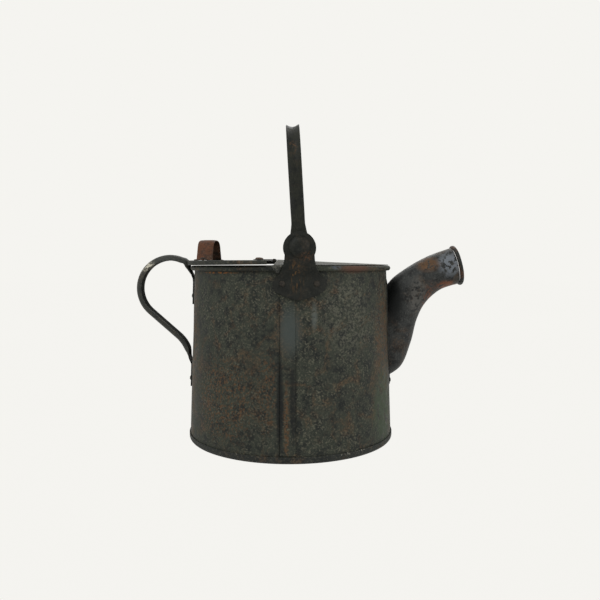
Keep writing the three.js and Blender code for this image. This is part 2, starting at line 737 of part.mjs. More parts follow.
function handleRivet(z) {
  const place = new THREE.Vector3(-wallRadius(z) - GAP - HANDLE_TAB_T, 0, z);
  return { place, along: direction(-1, 0, 0), grip: GAP + HANDLE_TAB_T + SHEET };
}

// ---- Spout ------------------------------------------------------------------------------

function spoutStations() {
  const tracks = [0, 1, 2, 3, 4].map((k) => new THREE.SplineCurve(
    SPOUT_STATIONS.map((station, i) => point(i, station[k])),
  ));
  const stations = [];
  for (let i = 0; i <= SPOUT_STEPS; i += 1) {
    const values = tracks.map((track) => track.getPoint(i / SPOUT_STEPS).y);
    stations.push(values);
  }
  return stations;
}

function spoutSection([reach, rise, halfHeight, halfWidth, lean], grow) {
  const x = BODY_TOP_R + reach * SPOUT_REACH;
  const z = SPOUT_FOOT_Z + rise * SPOUT_RISE;
  const tilt = radians(lean);
  return arc(0, 0, 1, 0, 360, SPOUT_SIDES).slice(1).map((spot) => {
    const up = spot.y * (halfHeight + grow);
    return new THREE.Vector3(x - up * Math.sin(tilt), spot.x * (halfWidth + grow), z + up * Math.cos(tilt));
  });
}

// Solid through a row of closed rings, with flat ends
function lofted(rings) {
  const sides = rings[0].length;
  const middles = [rings[0], rings.at(-1)].map((ring) => (
    ring.reduce((sum, spot) => sum.add(spot), new THREE.Vector3()).divideScalar(sides)
  ));
  const positions = [...rings.flat(), ...middles].flatMap((spot) => spot.toArray());
  const index = [];
  for (let ring = 0; ring < rings.length - 1; ring += 1) {
    for (let side = 0; side < sides; side += 1) {
      const [a, b] = [ring * sides + side, ring * sides + (side + 1) % sides];
      index.push(a, b, b + sides, a, b + sides, a + sides);
    }
  }
  const first = rings.length * sides;
  const lastRing = (rings.length - 1) * sides;
  for (let side = 0; side < sides; side += 1) {
    const next = (side + 1) % sides;
    index.push(first, next, side);
    index.push(first + 1, lastRing + side, lastRing + next);
  }
  const geometry = new THREE.BufferGeometry();
  geometry.setAttribute('position', new THREE.Float32BufferAttribute(positions, 3));
  geometry.setIndex(index);
  return solidOf(geometry);
}

function spoutForm(grow, past) {
  const rings = spoutStations().map((station) => spoutSection(station, grow));
  const tilt = radians(SPOUT_MOUTH_TILT);
  const ahead = new THREE.Vector3(Math.cos(tilt), 0, Math.sin(tilt)).multiplyScalar(past);
  const mouth = rings[0].map((spot) => spot.clone().add(ahead));
  return lofted([mouth, ...rings]);
}

function bodyCore(grow) {
  const outline = [
    point(0, -1),
    point(wallRadius(CORNER_Z) + grow, -1),
    point(wallRadius(CORNER_Z) + grow, CORNER_Z),
    point(BODY_TOP_R + grow, BEAD_Z),
    point(BODY_TOP_R + grow, RIM_H * 2),
    point(0, RIM_H * 2),
  ];
  return solidOf(turned(outline));
}

function spoutShells(inside) {
  const tube = spoutForm(0, 0.01).subtract(inside).subtract(bodyCore(GAP));
  return SIDES.map(([side, sign]) => {
    const reach = sign < 0 ? [-WORLD, -GAP / 2] : [GAP / 2, WORLD];
    return [side, tube.intersect(block([0, reach[0], 0], [WORLD, reach[1], WORLD]))];
  });
}

function rootFlange() {
  const rootTop = SPOUT_FOOT_Z + 0.845 * SPOUT_RISE;
  const low = SPOUT_FOOT_Z - FLANGE_TAIL;
  const high = rootTop + FLANGE_MARGIN;
  const half = (high - low) / 2;
  const shape = new THREE.Shape(arc(0, 0, 1, 0, 360, 36).slice(1).map((spot) => point(
    spot.x * (SPOUT_STATIONS[3][3] + FLANGE_MARGIN),
    (low + high) / 2 + Math.sign(spot.y) * Math.abs(spot.y) ** 0.86 * half,
  )));
  const geometry = new THREE.ExtrudeGeometry(shape, { depth: WORLD, bevelEnabled: false });
  geometry.rotateX(Math.PI / 2);
  geometry.rotateZ(Math.PI / 2);
  const collar = turnedSheet(wallPath(CORNER_Z, BEAD_Z, SHEET + GAP));
  return collar.intersect(solidOf(geometry)).subtract(spoutForm(GAP, 0.01));
}

function flangeRivet() {
  const z = SPOUT_FOOT_Z - FLANGE_RIVET_DROP;
  const place = new THREE.Vector3(wallRadius(z) + GAP + SHEET, 0, z);
  return { place, along: direction(1, 0, 0), grip: GAP + 2 * SHEET };
}

function mouthPlace(past) {
  const tilt = radians(SPOUT_MOUTH_TILT);
  return new THREE.Vector3(
    BODY_TOP_R + SPOUT_REACH + past * Math.cos(tilt),
    0,
    SPOUT_FOOT_Z + SPOUT_RISE + past * Math.sin(tilt),
  );
}

function mouthAxis() {
  const tilt = radians(SPOUT_MOUTH_TILT);
  return direction(Math.cos(tilt), 0, Math.sin(tilt));
}

function lipBead() {
  const middle = SPOUT_LIP_R - SHEET / 2;
  const path = arc(SPOUT_MOUTH_R, SPOUT_LIP_R + GAP, middle, 215, -85, 8);
  const ring = turned(thicken(path, SHEET), LIP_STEPS);
  return solidOf(aimed(ring, mouthPlace(0), mouthAxis()));
}

function lipWire() {
  const radius = SPOUT_LIP_R - SHEET - GAP;
  const ring = new THREE.TorusGeometry(SPOUT_MOUTH_R, radius, WIRE_SIDES, LIP_STEPS);
  return solidOf(aimed(ring, mouthPlace(SPOUT_LIP_R + GAP), mouthAxis()));
}

// ---- Assembly ---------------------------------------------------------------------------

const can = new THREE.Group();
const lid = new THREE.Group();
lid.position.set(HINGE_X, 0, HINGE_Z);
const bail = new THREE.Group();
bail.position.set(EAR_X, 0, PIVOT_Z);
bail.rotation.y = -radians(BAIL_LEAN);
can.add(lid, bail);

function add(group, name, solid, finish) {
  const geometry = geometryOf(solid);
  if (group === lid) geometry.translate(-HINGE_X, 0, -HINGE_Z);
  const mesh = new THREE.Mesh(geometry, new THREE.MeshStandardMaterial(finish));
  mesh.name = name;
  group.add(mesh);
}

function addRivet(group, name, { place, along, grip }, size) {
  add(group, name, rivet(place, along, grip, size), RIVET_IRON);
}

function drillFor({ place, along }, [shankR]) {
  return drill(place, along, shankR);
}

function addBody() {
  const inside = spoutForm(-SHEET, 1);
  const sheets = bodySheets(inside);
  const handleHoles = handleRivets().map(([, spot]) => drillFor(spot, SMALL_RIVET));
  const earHoles = earRivets().map(([, spot]) => drillFor(spot, SMALL_RIVET));
  const flangeHole = drillFor(flangeRivet(), SMALL_RIVET);
  add(can, 'body_front_sheet', cutBy(sheets.front, [...earHoles, flangeHole]), DARK_IRON);
  add(can, 'body_back_sheet', cutBy(sheets.back, [...earHoles, ...handleHoles]), DARK_IRON);
  add(can, 'rim_wire', rimWire(), RIVET_IRON);
  add(can, 'bottom_pan', bottomPan(), DARK_IRON);
  add(can, 'spout_root_flange', cutBy(rootFlange(), [flangeHole]), DARK_IRON);
  addRivet(can, 'spout_flange_rivet', flangeRivet(), SMALL_RIVET);
  spoutShells(inside).forEach(([side, shell]) => add(can, `spout_shell_${side}`, shell, WORN_IRON));
  add(can, 'spout_lip_bead', lipBead(), WORN_IRON);
  add(can, 'spout_lip_wire', lipWire(), RIVET_IRON);
}

function handleRivets() {
  return [
    ['handle_rivet_top', handleRivet(RIM_H - HANDLE_TOP_RIVET_DROP)],
    ['handle_rivet_bottom', handleRivet(HANDLE_LOW_RIVET_Z)],
  ];
}

function addBackHandle() {
  const holes = handleRivets().map(([, spot]) => drillFor(spot, SMALL_RIVET));
  const whole = joined([handleLoop(), handleTopStrap(), handleFootTab()]);
  add(can, 'back_handle', cutBy(whole, holes), WORN_IRON);
  handleRivets().forEach(([name, spot]) => addRivet(can, name, spot, SMALL_RIVET));
}

function earRivets() {
  return SIDES.flatMap(([side, sign]) => [['back', -1], ['front', 1]].map(([end, xSign]) => (
    [`ear_rivet_${side}_${end}`, earRivet(sign, xSign)]
  )));
}

function addEars() {
  const holes = earRivets().map(([, spot]) => drillFor(spot, SMALL_RIVET));
  SIDES.forEach(([side, sign]) => {
    add(can, `ear_${side}`, cutBy(earPlate(sign), holes), BLACK_IRON);
    add(can, `pivot_rivet_${side}`, pivotRivet(sign), BLACK_IRON);
    add(can, `pivot_washer_${side}`, pivotWasher(sign), RIVET_IRON);
  });
  earRivets().forEach(([name, spot]) => addRivet(can, name, spot, SMALL_RIVET));
}

function coverLeafRivets() {
  return SIDES.map(([side, sign]) => {
    const x = COVER_EDGE_X + COVER_LEAF_RIVET_X;
    const slope = (COVER_PEAK_ABOVE_RIM - GAP - SHEET) / (BODY_TOP_R - COVER_EDGE_X);
    const along = Math.hypot(COVER_LEAF_RIVET_X, COVER_LEAF_RIVET_Y);
    const top = RIM_H + COVER_PEAK_ABOVE_RIM - slope * along;
    const place = new THREE.Vector3(x, sign * COVER_LEAF_RIVET_Y, top);
    const grip = top - (HINGE_Z - KNUCKLE_R - LEAF_T);
    return [`cover_leaf_rivet_${side}`, { place, along: direction(0, 0, 1), grip }];
  });
}

function addCover() {
  const rivets = coverLeafRivets();
  const holes = rivets.map(([, spot]) => drillFor(spot, SMALL_RIVET));
  const cover = joined([coverSheet(), coverTab(-1), coverTab(1)]);
  add(can, 'top_cover', cutBy(cover, holes), DARK_IRON);
  add(can, 'hinge_leaf_cover', cutBy(coverLeaf(), holes), BLACK_IRON);
  add(can, 'hinge_pin', hingePin(), RIVET_IRON);
  rivets.forEach(([name, spot]) => addRivet(can, name, spot, SMALL_RIVET));
}

function lidLeafRivets() {
  return SIDES.map(([side, sign]) => {
    const x = HINGE_X - LEAF_RIVET_INSET;
    const top = lidSurface(LID_EDGE_X) + GAP + LEAF_T;
    const place = new THREE.Vector3(x, sign * LID_LEAF_RIVET_Y, top);
    return [`lid_leaf_rivet_${side}`, { place, along: direction(0, 0, 1), grip: GAP + LEAF_T + SHEET + GAP }];
  });
}

function strapRivets() {
  return SIDES.map(([side, sign]) => {
    const spot = { place: strapRivetPlace(sign), along: direction(0, 0, 1), grip: STRAP_T + 2 * GAP + SHEET };
    return [`strap_rivet_${side}`, spot];
  });
}

function addLid() {
  const leafHoles = lidLeafRivets().map(([, spot]) => drillFor(spot, LID_RIVET));
  const strapHoles = strapRivets().map(([, spot]) => drillFor(spot, SMALL_RIVET));
  add(lid, 'lid', cutBy(lidSheet(), [...leafHoles, ...strapHoles]), DARK_IRON);
  add(lid, 'hinge_leaf_lid', cutBy(lidLeaf(), leafHoles), BLACK_IRON);
  add(lid, 'lid_lift_strap', cutBy(liftStrap(), strapHoles), RUSTY_IRON);
  lidLeafRivets().forEach(([name, spot]) => addRivet(lid, name, spot, LID_RIVET));
  strapRivets().forEach(([name, spot]) => addRivet(lid, name, spot, SMALL_RIVET));
}

addBody();
addBackHandle();
addEars();
addCover();
addLid();
add(bail, 'bail_handle', bailHandle(), BLACK_IRON);

export default can;
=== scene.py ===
"""Sheet-iron watering can: finer sheets, curls and rivets, and their aged finishes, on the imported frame.

Sizes are in millimetres and colours are linear. The can stands on Z = 0, its spout towards +X,
its back handle towards -X, and its right-hand side towards -Y.
"""

from __future__ import annotations

import logging
import math
from collections.abc import Callable, Sequence
from dataclasses import dataclass
from enum import Enum

import bpy
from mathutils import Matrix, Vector

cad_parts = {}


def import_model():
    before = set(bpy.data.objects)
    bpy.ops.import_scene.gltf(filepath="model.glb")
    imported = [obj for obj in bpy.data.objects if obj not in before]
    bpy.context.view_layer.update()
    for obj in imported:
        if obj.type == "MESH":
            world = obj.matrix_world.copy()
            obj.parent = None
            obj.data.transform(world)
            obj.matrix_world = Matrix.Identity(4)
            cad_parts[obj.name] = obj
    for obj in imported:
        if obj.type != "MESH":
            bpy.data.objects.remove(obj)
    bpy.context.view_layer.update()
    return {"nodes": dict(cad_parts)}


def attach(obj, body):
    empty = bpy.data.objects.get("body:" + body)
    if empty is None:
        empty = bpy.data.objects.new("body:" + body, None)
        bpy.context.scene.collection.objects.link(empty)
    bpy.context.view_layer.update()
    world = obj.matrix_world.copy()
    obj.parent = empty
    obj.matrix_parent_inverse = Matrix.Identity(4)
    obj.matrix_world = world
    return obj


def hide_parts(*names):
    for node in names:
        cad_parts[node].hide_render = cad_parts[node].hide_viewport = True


LOG = logging.getLogger("watering_can")
MM = 0.001
PIVOT_X = 10.6
PIVOT_Z = 221.5

Spot = tuple[float, float, float]
Flat = tuple[float, float]
Colour = tuple[float, float, float]


class Rider(Enum):
    """The moving bodies that a piece can ride on."""

    CAN = "can"
    LID = "lid"
    BAIL = "bail"


class Slot(Enum):
    """Names of material slots."""

    BODY = "body_iron"
    COVER = "cover_iron"
    SPOUT = "spout_iron"
    HANDLE = "handle_iron"
    BLACK = "black_iron"
    RUSTY = "rusty_iron"
    RIVET = "rivet_iron"


class Side(Enum):
    """The two long sides of the can, each with its sign on the Y axis."""

    RIGHT = -1
    LEFT = 1

    @property
    def word(self) -> str:
        """The side's name as the nodes spell it."""
        return self.name.lower()


# ---- The bench: edit-mode operators as short steps ------------------------------------------


def metres(spot: Sequence[float]) -> Spot:
    """Turns a place or a step from millimetres into metres.

    Args:
        spot: Three numbers in millimetres.

    Returns:
        The same three numbers in metres.
    """
    return tuple(value * MM for value in spot)


def polar(radius: float, degrees: float, height: float = 0.0) -> Spot:
    """Finds a place on a circle round the can's axis.

    Args:
        radius: Distance from the axis.
        degrees: Angle from +X towards +Y.
        height: Height above the floor.

    Returns:
        The place.
    """
    angle = math.radians(degrees)
    return radius * math.cos(angle), radius * math.sin(angle), height


def arc(centre: Flat, radius: float, start: float, end: float, steps: int) -> list[Flat]:
    """Lists places along an arc.

    Args:
        centre: Middle of the arc.
        radius: Its radius.
        start: First angle in degrees.
        end: Last angle in degrees.
        steps: Number of straight steps.

    Returns:
        Places from the first angle to the last.
    """
    spots = []
    for k in range(steps + 1):
        angle = math.radians(start + (end - start) * k / steps)
        spots.append((centre[0] + radius * math.cos(angle), centre[1] + radius * math.sin(angle)))
    return spots


def even(start: float, end: float, steps: int) -> list[float]:
    """Lists evenly spaced numbers from start to end, both included."""
    return [start + (end - start) * k / steps for k in range(steps + 1)]


def clear_bench() -> None:
    """Leaves edit mode and deselects every object."""
    active = bpy.context.view_layer.objects.active
    if active is not None and active.mode != "OBJECT":
        bpy.ops.object.mode_set(mode="OBJECT")
    bpy.ops.object.select_all(action="DESELECT")


def hold(piece: bpy.types.Object) -> None:
    """Makes a piece the only selected one, and active.

    Args:
        piece: The piece.
    """
    clear_bench()
    piece.select_set(True)
    bpy.context.view_layer.objects.active = piece


def open_all(piece: bpy.types.Object) -> None:
    """Opens a piece in edit mode with all of its mesh selected.

    Args:
        piece: The piece.
    """
    hold(piece)
    bpy.ops.object.mode_set(mode="EDIT")
    bpy.ops.mesh.select_all(action="SELECT")


def new_piece(name: str) -> bpy.types.Object:
    """Starts a piece as one point at the origin, in edit mode, and selects it.

    Args:
        name: The piece's name.

    Returns:
        The new piece.
    """
    clear_bench()
    bpy.ops.mesh.primitive_plane_add(size=MM)
    piece = bpy.context.object
    piece.name = name
    piece.data.name = name
    bpy.ops.object.mode_set(mode="EDIT")
    bpy.ops.mesh.select_all(action="SELECT")
    bpy.ops.mesh.merge(type="CENTER")
    return piece


def draw_on(spots: Sequence[Spot]) -> None:
    """Moves the selected point at the origin to the first spot and extrudes it through the others.

    Args:
        spots: The spots in order.
    """
    bpy.ops.transform.translate(value=metres(spots[0]))
    for here, there in zip(spots, spots[1:]):
        step = metres([there[k] - here[k] for k in range(3)])
        bpy.ops.mesh.extrude_region_move(TRANSFORM_OT_translate={"value": step})


def turn(degrees: float, axis: str, centre: Spot = (0.0, 0.0, 0.0)) -> None:
    """Turns the selection by the right-hand rule about an axis through a place.

    Args:
        degrees: How far.
        axis: X, Y or Z.
        centre: A place on the axis.
    """
    bpy.ops.transform.rotate(
        value=-math.radians(degrees), orient_axis=axis, center_override=metres(centre)
    )


def close_mesh(merge: float = 0.01) -> None:
    """Merges doubles, makes the faces point outwards and leaves edit mode.

    Args:
        merge: Points nearer than this, in millimetres, become one.
    """
    bpy.ops.mesh.select_all(action="SELECT")
    bpy.ops.mesh.remove_doubles(threshold=merge * MM)
    bpy.ops.mesh.normals_make_consistent(inside=False)
    bpy.ops.object.mode_set(mode="OBJECT")


def lathe(
    name: str, profile: Sequence[Flat], start: float = 0.0, sweep: float = 360.0, steps: int = 96
) -> bpy.types.Object:
    """Draws a profile and spins it round the can's axis.

    Args:
        name: The piece's name.
        profile: Places as radius and height.
        start: Angle of the drawn profile in degrees.
        sweep: Angle that it is spun through.
        steps: Number of steps round.

    Returns:
        The piece, an open sheet with no thickness yet.
    """
    piece = new_piece(name)
    draw_on([polar(radius, start, height) for radius, height in profile])
    bpy.ops.mesh.select_all(action="SELECT")
    bpy.ops.mesh.spin(steps=steps, angle=-math.radians(sweep), center=(0, 0, 0), axis=(0, 0, 1))
    close_mesh()
    return piece


def loft(name: str, rows: Sequence[Sequence[Spot]]) -> bpy.types.Object:
    """Draws rows of points and bridges each to the next.

    Args:
        name: The piece's name.
        rows: Rows of spots, all with the same number.

    Returns:
        The piece, an open sheet with no thickness yet.
    """
    piece = new_piece(name)
    draw_on(rows[0])
    for row in rows[1:]:
        bpy.ops.mesh.primitive_plane_add(size=MM)
        bpy.ops.mesh.merge(type="CENTER")
        draw_on(row)
    bpy.ops.mesh.select_all(action="SELECT")
    bpy.ops.mesh.bridge_edge_loops(type="SINGLE")
    close_mesh()
    return piece


def worked(piece: bpy.types.Object, kind: str, **settings: object) -> None:
    """Adds a modifier to a piece, sets it and applies it.

    Args:
        piece: The piece.
        kind: The modifier's type.
        settings: Its settings by name.
    """
    hold(piece)
    modifier = piece.modifiers.new(kind.title(), kind)
    for key, value in settings.items():
        setattr(modifier, key, value)
    bpy.ops.object.modifier_apply(modifier=modifier.name)


def thicken(piece: bpy.types.Object, thickness: float) -> None:
    """Gives a sheet its thickness, half to each side."""
    worked(piece, "SOLIDIFY", thickness=thickness * MM, offset=0.0, use_even_offset=True)


def soften(piece: bpy.types.Object, width: float, segments: int = 2, limit: float = 40.0) -> None:
    """Rounds a piece's sharp edges and shades it smooth between them.

    Args:
        piece: The piece.
        width: Width of the rounding.
        segments: Its steps.
        limit: Edges sharper than this angle are rounded.
    """
    worked(
        piece, "BEVEL", width=width * MM, segments=segments, limit_method="ANGLE",
        angle_limit=math.radians(limit), harden_normals=False,
    )
    smooth(piece)


def smooth(piece: bpy.types.Object, limit: float = 42.0) -> None:
    """Shades a piece smooth, with edges over the limit left sharp."""
    hold(piece)
    bpy.ops.object.shade_smooth_by_angle(angle=math.radians(limit))


def dent(piece: bpy.types.Object, depth: float, grain: float, weight: Callable[[Vector], float]) -> None:
    """Makes a sheet slightly uneven, as hand work and use leave it.

    Args:
        piece: The sheet.
        depth: Whole depth of the unevenness.
        grain: Distance from one swelling to the next.
        weight: Share of the depth at a place, which is given in millimetres.
    """
    group = piece.vertex_groups.new(name="uneven")
    for vertex in piece.data.vertices:
        group.add([vertex.index], weight(vertex.co / MM), "REPLACE")
    texture = bpy.data.textures.new(piece.name + "_unevenness", "CLOUDS")
    texture.noise_scale = grain * MM
    texture.noise_depth = 1
    worked(
        piece, "DISPLACE", texture=texture, texture_coords="LOCAL", strength=depth * MM,
        mid_level=0.5, vertex_group=group.name,
    )
    piece.vertex_groups.clear()


def cut(piece: bpy.types.Object, cutter: bpy.types.Object, drop: bool = True) -> None:
    """Cuts one piece with another.

    Args:
        piece: The piece that is cut.
        cutter: The closed form that is taken away.
        drop: Whether the cutter is thrown away afterwards.
    """
    worked(piece, "BOOLEAN", operation="DIFFERENCE", object=cutter, solver="EXACT")
    if drop:
        bpy.data.objects.remove(cutter)


def trim(piece: bpy.types.Object, place: Spot, normal: Spot) -> None:
    """Cuts a sheet along a plane and throws away the part that the normal points to.

    Args:
        piece: The piece.
        place: A place on the plane.
        normal: Its direction.
    """
    open_all(piece)
    bpy.ops.mesh.bisect(plane_co=metres(place), plane_no=normal, clear_outer=True, use_fill=False)
    bpy.ops.object.mode_set(mode="OBJECT")


def join(name: str, parts: Sequence[bpy.types.Object]) -> bpy.types.Object:
    """Joins parts into one piece.

    Args:
        name: The piece's name.
        parts: The parts.

    Returns:
        The joined piece.
    """
    hold(parts[0])
    for part in parts[1:]:
        part.select_set(True)
    bpy.ops.object.join()
    parts[0].name = name
    return parts[0]


def copied(piece: bpy.types.Object, name: str) -> bpy.types.Object:
    """Copies a piece with a mesh of its own.

    Args:
        piece: The piece.
        name: The copy's name.

    Returns:
        The copy.
    """
    twin = bpy.data.objects.new(name, piece.data.copy())
    twin.data.name = name
    bpy.context.scene.collection.objects.link(twin)
    return twin


def mirrored(piece: bpy.types.Object, name: str) -> bpy.types.Object:
    """Copies a piece to the other side of the can.

    Args:
        piece: The piece.
        name: The copy's name.

    Returns:
        The copy, with its faces pointing outwards.
    """
    twin = copied(piece, name)
    open_all(twin)
    bpy.ops.transform.resize(value=(1, -1, 1), center_override=(0, 0, 0))
    bpy.ops.mesh.flip_normals()
    bpy.ops.object.mode_set(mode="OBJECT")
    return twin


def traced(node: bpy.types.Object, name: str) -> bpy.types.Object:
    """Copies a frame node's mesh, merged and in quads, as the start of a finer piece.

    Args:
        node: The node.
        name: The piece's name.

    Returns:
        The piece.
    """
    piece = copied(node, name)
    piece.data.materials.clear()
    open_all(piece)
    bpy.ops.mesh.remove_doubles(threshold=0.002 * MM)
    bpy.ops.mesh.tris_convert_to_quads()
    bpy.ops.object.mode_set(mode="OBJECT")
    return piece


def placed(piece: bpy.types.Object, place: Spot, along: Spot) -> None:
    """Turns a piece modelled on the Z axis so that Z points along a direction, and moves it.

    Args:
        piece: The piece.
        place: Where its origin goes.
        along: Where its Z axis points.
    """
    out = Vector(along).normalized()
    open_all(piece)
    turn(math.degrees(math.acos(max(-1.0, min(1.0, out.z)))), "Y")
    turn(math.degrees(math.atan2(out.y, out.x)), "Z")
    bpy.ops.transform.translate(value=metres(place))
    bpy.ops.object.mode_set(mode="OBJECT")


def swept_rows(
    path: Sequence[Flat], section: Callable[[float, float], Sequence[Flat]]
) -> list[list[tuple[float, float, float]]]:
    """Lays a section along a flat path.

    Args:
        path: Places in the path's plane.
        section: Gives the section at a share of the path's length, as places across the path and
            to its left in its plane. Its second argument is the place's first coordinate.

    Returns:
        Rows of (first, second, across) coordinates.
    """
    gaps = [math.dist(a, b) for a, b in zip(path, path[1:])]
    whole, gone, rows = sum(gaps), 0.0, []
    for k, here in enumerate(path):
        before, after = path[max(k - 1, 0)], path[min(k + 1, len(path) - 1)]
        length = math.dist(before, after)
        ahead = ((after[0] - before[0]) / length, (after[1] - before[1]) / length)
        left = (-ahead[1], ahead[0])
        row = []
        for across, out in section(gone / whole, here[1]):
            row.append((here[0] + left[0] * out, here[1] + left[1] * out, across))
        rows.append(row)
        gone += gaps[k] if k < len(gaps) else 0.0
    return rows


def settled(share: float) -> float:
    """Eases a share from 0 to 1, and holds it there."""
    share = max(0.0, min(1.0, share))
    return share * share * (3 - 2 * share)


# ---- Finishes --------------------------------------------------------------------------------


class Brew:
    """A material's nodes, written as short calls."""

    def __init__(self, name: str) -> None:
        """Starts an empty material with a shader on Object coordinates."""
        self.material = bpy.data.materials.new(name)
        self.material.use_nodes = True
        self.tree = self.material.node_tree
        self.tree.nodes.clear()
        output = self.tree.nodes.new("ShaderNodeOutputMaterial")
        self.shader = self.tree.nodes.new("ShaderNodeBsdfPrincipled")
        self.tree.links.new(self.shader.outputs["BSDF"], output.inputs["Surface"])
        self.place = self.tree.nodes.new("ShaderNodeTexCoord").outputs["Object"]

    def put(self, socket: bpy.types.NodeSocket, value: object) -> None:
        """Sets a socket to a value, or links another socket to it.

        Args:
            socket: The socket.
            value: The value, or the other socket.
        """
        if isinstance(value, bpy.types.NodeSocket):
            self.tree.links.new(value, socket)
        elif isinstance(value, tuple) and len(value) == 3 and socket.type == "RGBA":
            socket.default_value = (*value, 1.0)
        else:
            socket.default_value = value

    def noise(
        self, grain: float, detail: float = 3.0, rough: float = 0.5,
        stretch: Spot = (1.0, 1.0, 1.0), shift: float = 0.0, warp: float = 0.0,
    ) -> bpy.types.NodeSocket:
        """Adds a noise pattern.

        Args:
            grain: Size of its blotches in millimetres.
            detail: Levels of finer detail.
            rough: Strength of the finer levels.
            stretch: How many times longer the blotches are along each axis.
            shift: Moves the pattern, so that two of one grain differ.
            warp: Distortion.

        Returns:
            The pattern's value.
        """
        mapping = self.tree.nodes.new("ShaderNodeMapping")
        mapping.inputs["Location"].default_value = (shift, shift * 0.7, -shift)
        mapping.inputs["Scale"].default_value = tuple(1 / times for times in stretch)
        self.put(mapping.inputs["Vector"], self.place)
        noise = self.tree.nodes.new("ShaderNodeTexNoise")
        noise.inputs["Scale"].default_value = 1 / (grain * MM)
        noise.inputs["Detail"].default_value = detail
        noise.inputs["Roughness"].default_value = rough
        noise.inputs["Distortion"].default_value = warp
        self.put(noise.inputs["Vector"], mapping.outputs["Vector"])
        return noise.outputs["Fac"]

    def ramp(
        self, value: object, low: float, high: float, start: float = 0.0, end: float = 1.0
    ) -> bpy.types.NodeSocket:
        """Eases a value that runs from low to high so that it runs from start to end.

        Args:
            value: The value.
            low: Where it begins.
            high: Where it ends.
            start: What low becomes.
            end: What high becomes.

        Returns:
            The eased value.
        """
        node = self.tree.nodes.new("ShaderNodeMapRange")
        node.interpolation_type = "SMOOTHSTEP"
        self.put(node.inputs["Value"], value)
        node.inputs["From Min"].default_value = low
        node.inputs["From Max"].default_value = high
        node.inputs["To Min"].default_value = start
        node.inputs["To Max"].default_value = end
        return node.outputs["Result"]

    def sum(self, operation: str, first: object, second: object) -> bpy.types.NodeSocket:
        """Joins two values by an operation of arithmetic.

        Args:
            operation: Its name.
            first: One value.
            second: The other.

        Returns:
            The result, kept from 0 to 1.
        """
        node = self.tree.nodes.new("ShaderNodeMath")
        node.operation = operation
        node.use_clamp = True
        self.put(node.inputs[0], first)
        self.put(node.inputs[1], second)
        return node.outputs[0]

    def both(self, first: object, second: object) -> bpy.types.NodeSocket:
        """Keeps a mask only where another also holds."""
        return self.sum("MULTIPLY", first, second)

    def mix(self, share: object, under: object, over: object) -> bpy.types.NodeSocket:
        """Lays one colour over another by a mask.

        Args:
            share: The mask.
            under: The lower colour.
            over: The upper colour.

        Returns:
            The colour.
        """
        node = self.tree.nodes.new("ShaderNodeMix")
        node.data_type = "RGBA"
        self.put(node.inputs["Factor"], share)
        self.put(node.inputs[6], under)
        self.put(node.inputs[7], over)
        return node.outputs[2]

    def near(self, centre: Spot, reach: Spot) -> bpy.types.NodeSocket:
        """Adds a mask that is 1 at a place and falls to 0 at a reach along each axis.

        Args:
            centre: The place.
            reach: How far it goes along each axis.

        Returns:
            The mask.
        """
        mapping = self.tree.nodes.new("ShaderNodeMapping")
        mapping.inputs["Location"].default_value = tuple(-c / r for c, r in zip(centre, reach))
        mapping.inputs["Scale"].default_value = tuple(1 / (r * MM) for r in reach)
        self.put(mapping.inputs["Vector"], self.place)
        length = self.tree.nodes.new("ShaderNodeVectorMath")
        length.operation = "LENGTH"
        self.put(length.inputs[0], mapping.outputs["Vector"])
        return self.ramp(length.outputs["Value"], 0.35, 1.0, 1.0, 0.0)

    def bump(self, height: object, depth: float) -> None:
        """Lets a height pattern of a depth in millimetres shade the surface.

        Args:
            height: The pattern.
            depth: Its depth.
        """
        node = self.tree.nodes.new("ShaderNodeBump")
        node.inputs["Strength"].default_value = 1.0
        node.inputs["Distance"].default_value = depth * MM
        self.put(node.inputs["Height"], height)
        self.put(self.shader.inputs["Normal"], node.outputs["Normal"])


@dataclass(frozen=True)
class Patch:
    """A mark at one place with a ragged edge: rust, wear and bloom stains, and also patches of painted
    shade and painted highlight.
    """

    centre: Spot
    reach: Spot
    colour: Colour
    share: float = 0.8
    grain: float = 6.0
    solid: float = 0.5
    stretch: Spot = (1.0, 1.0, 1.0)


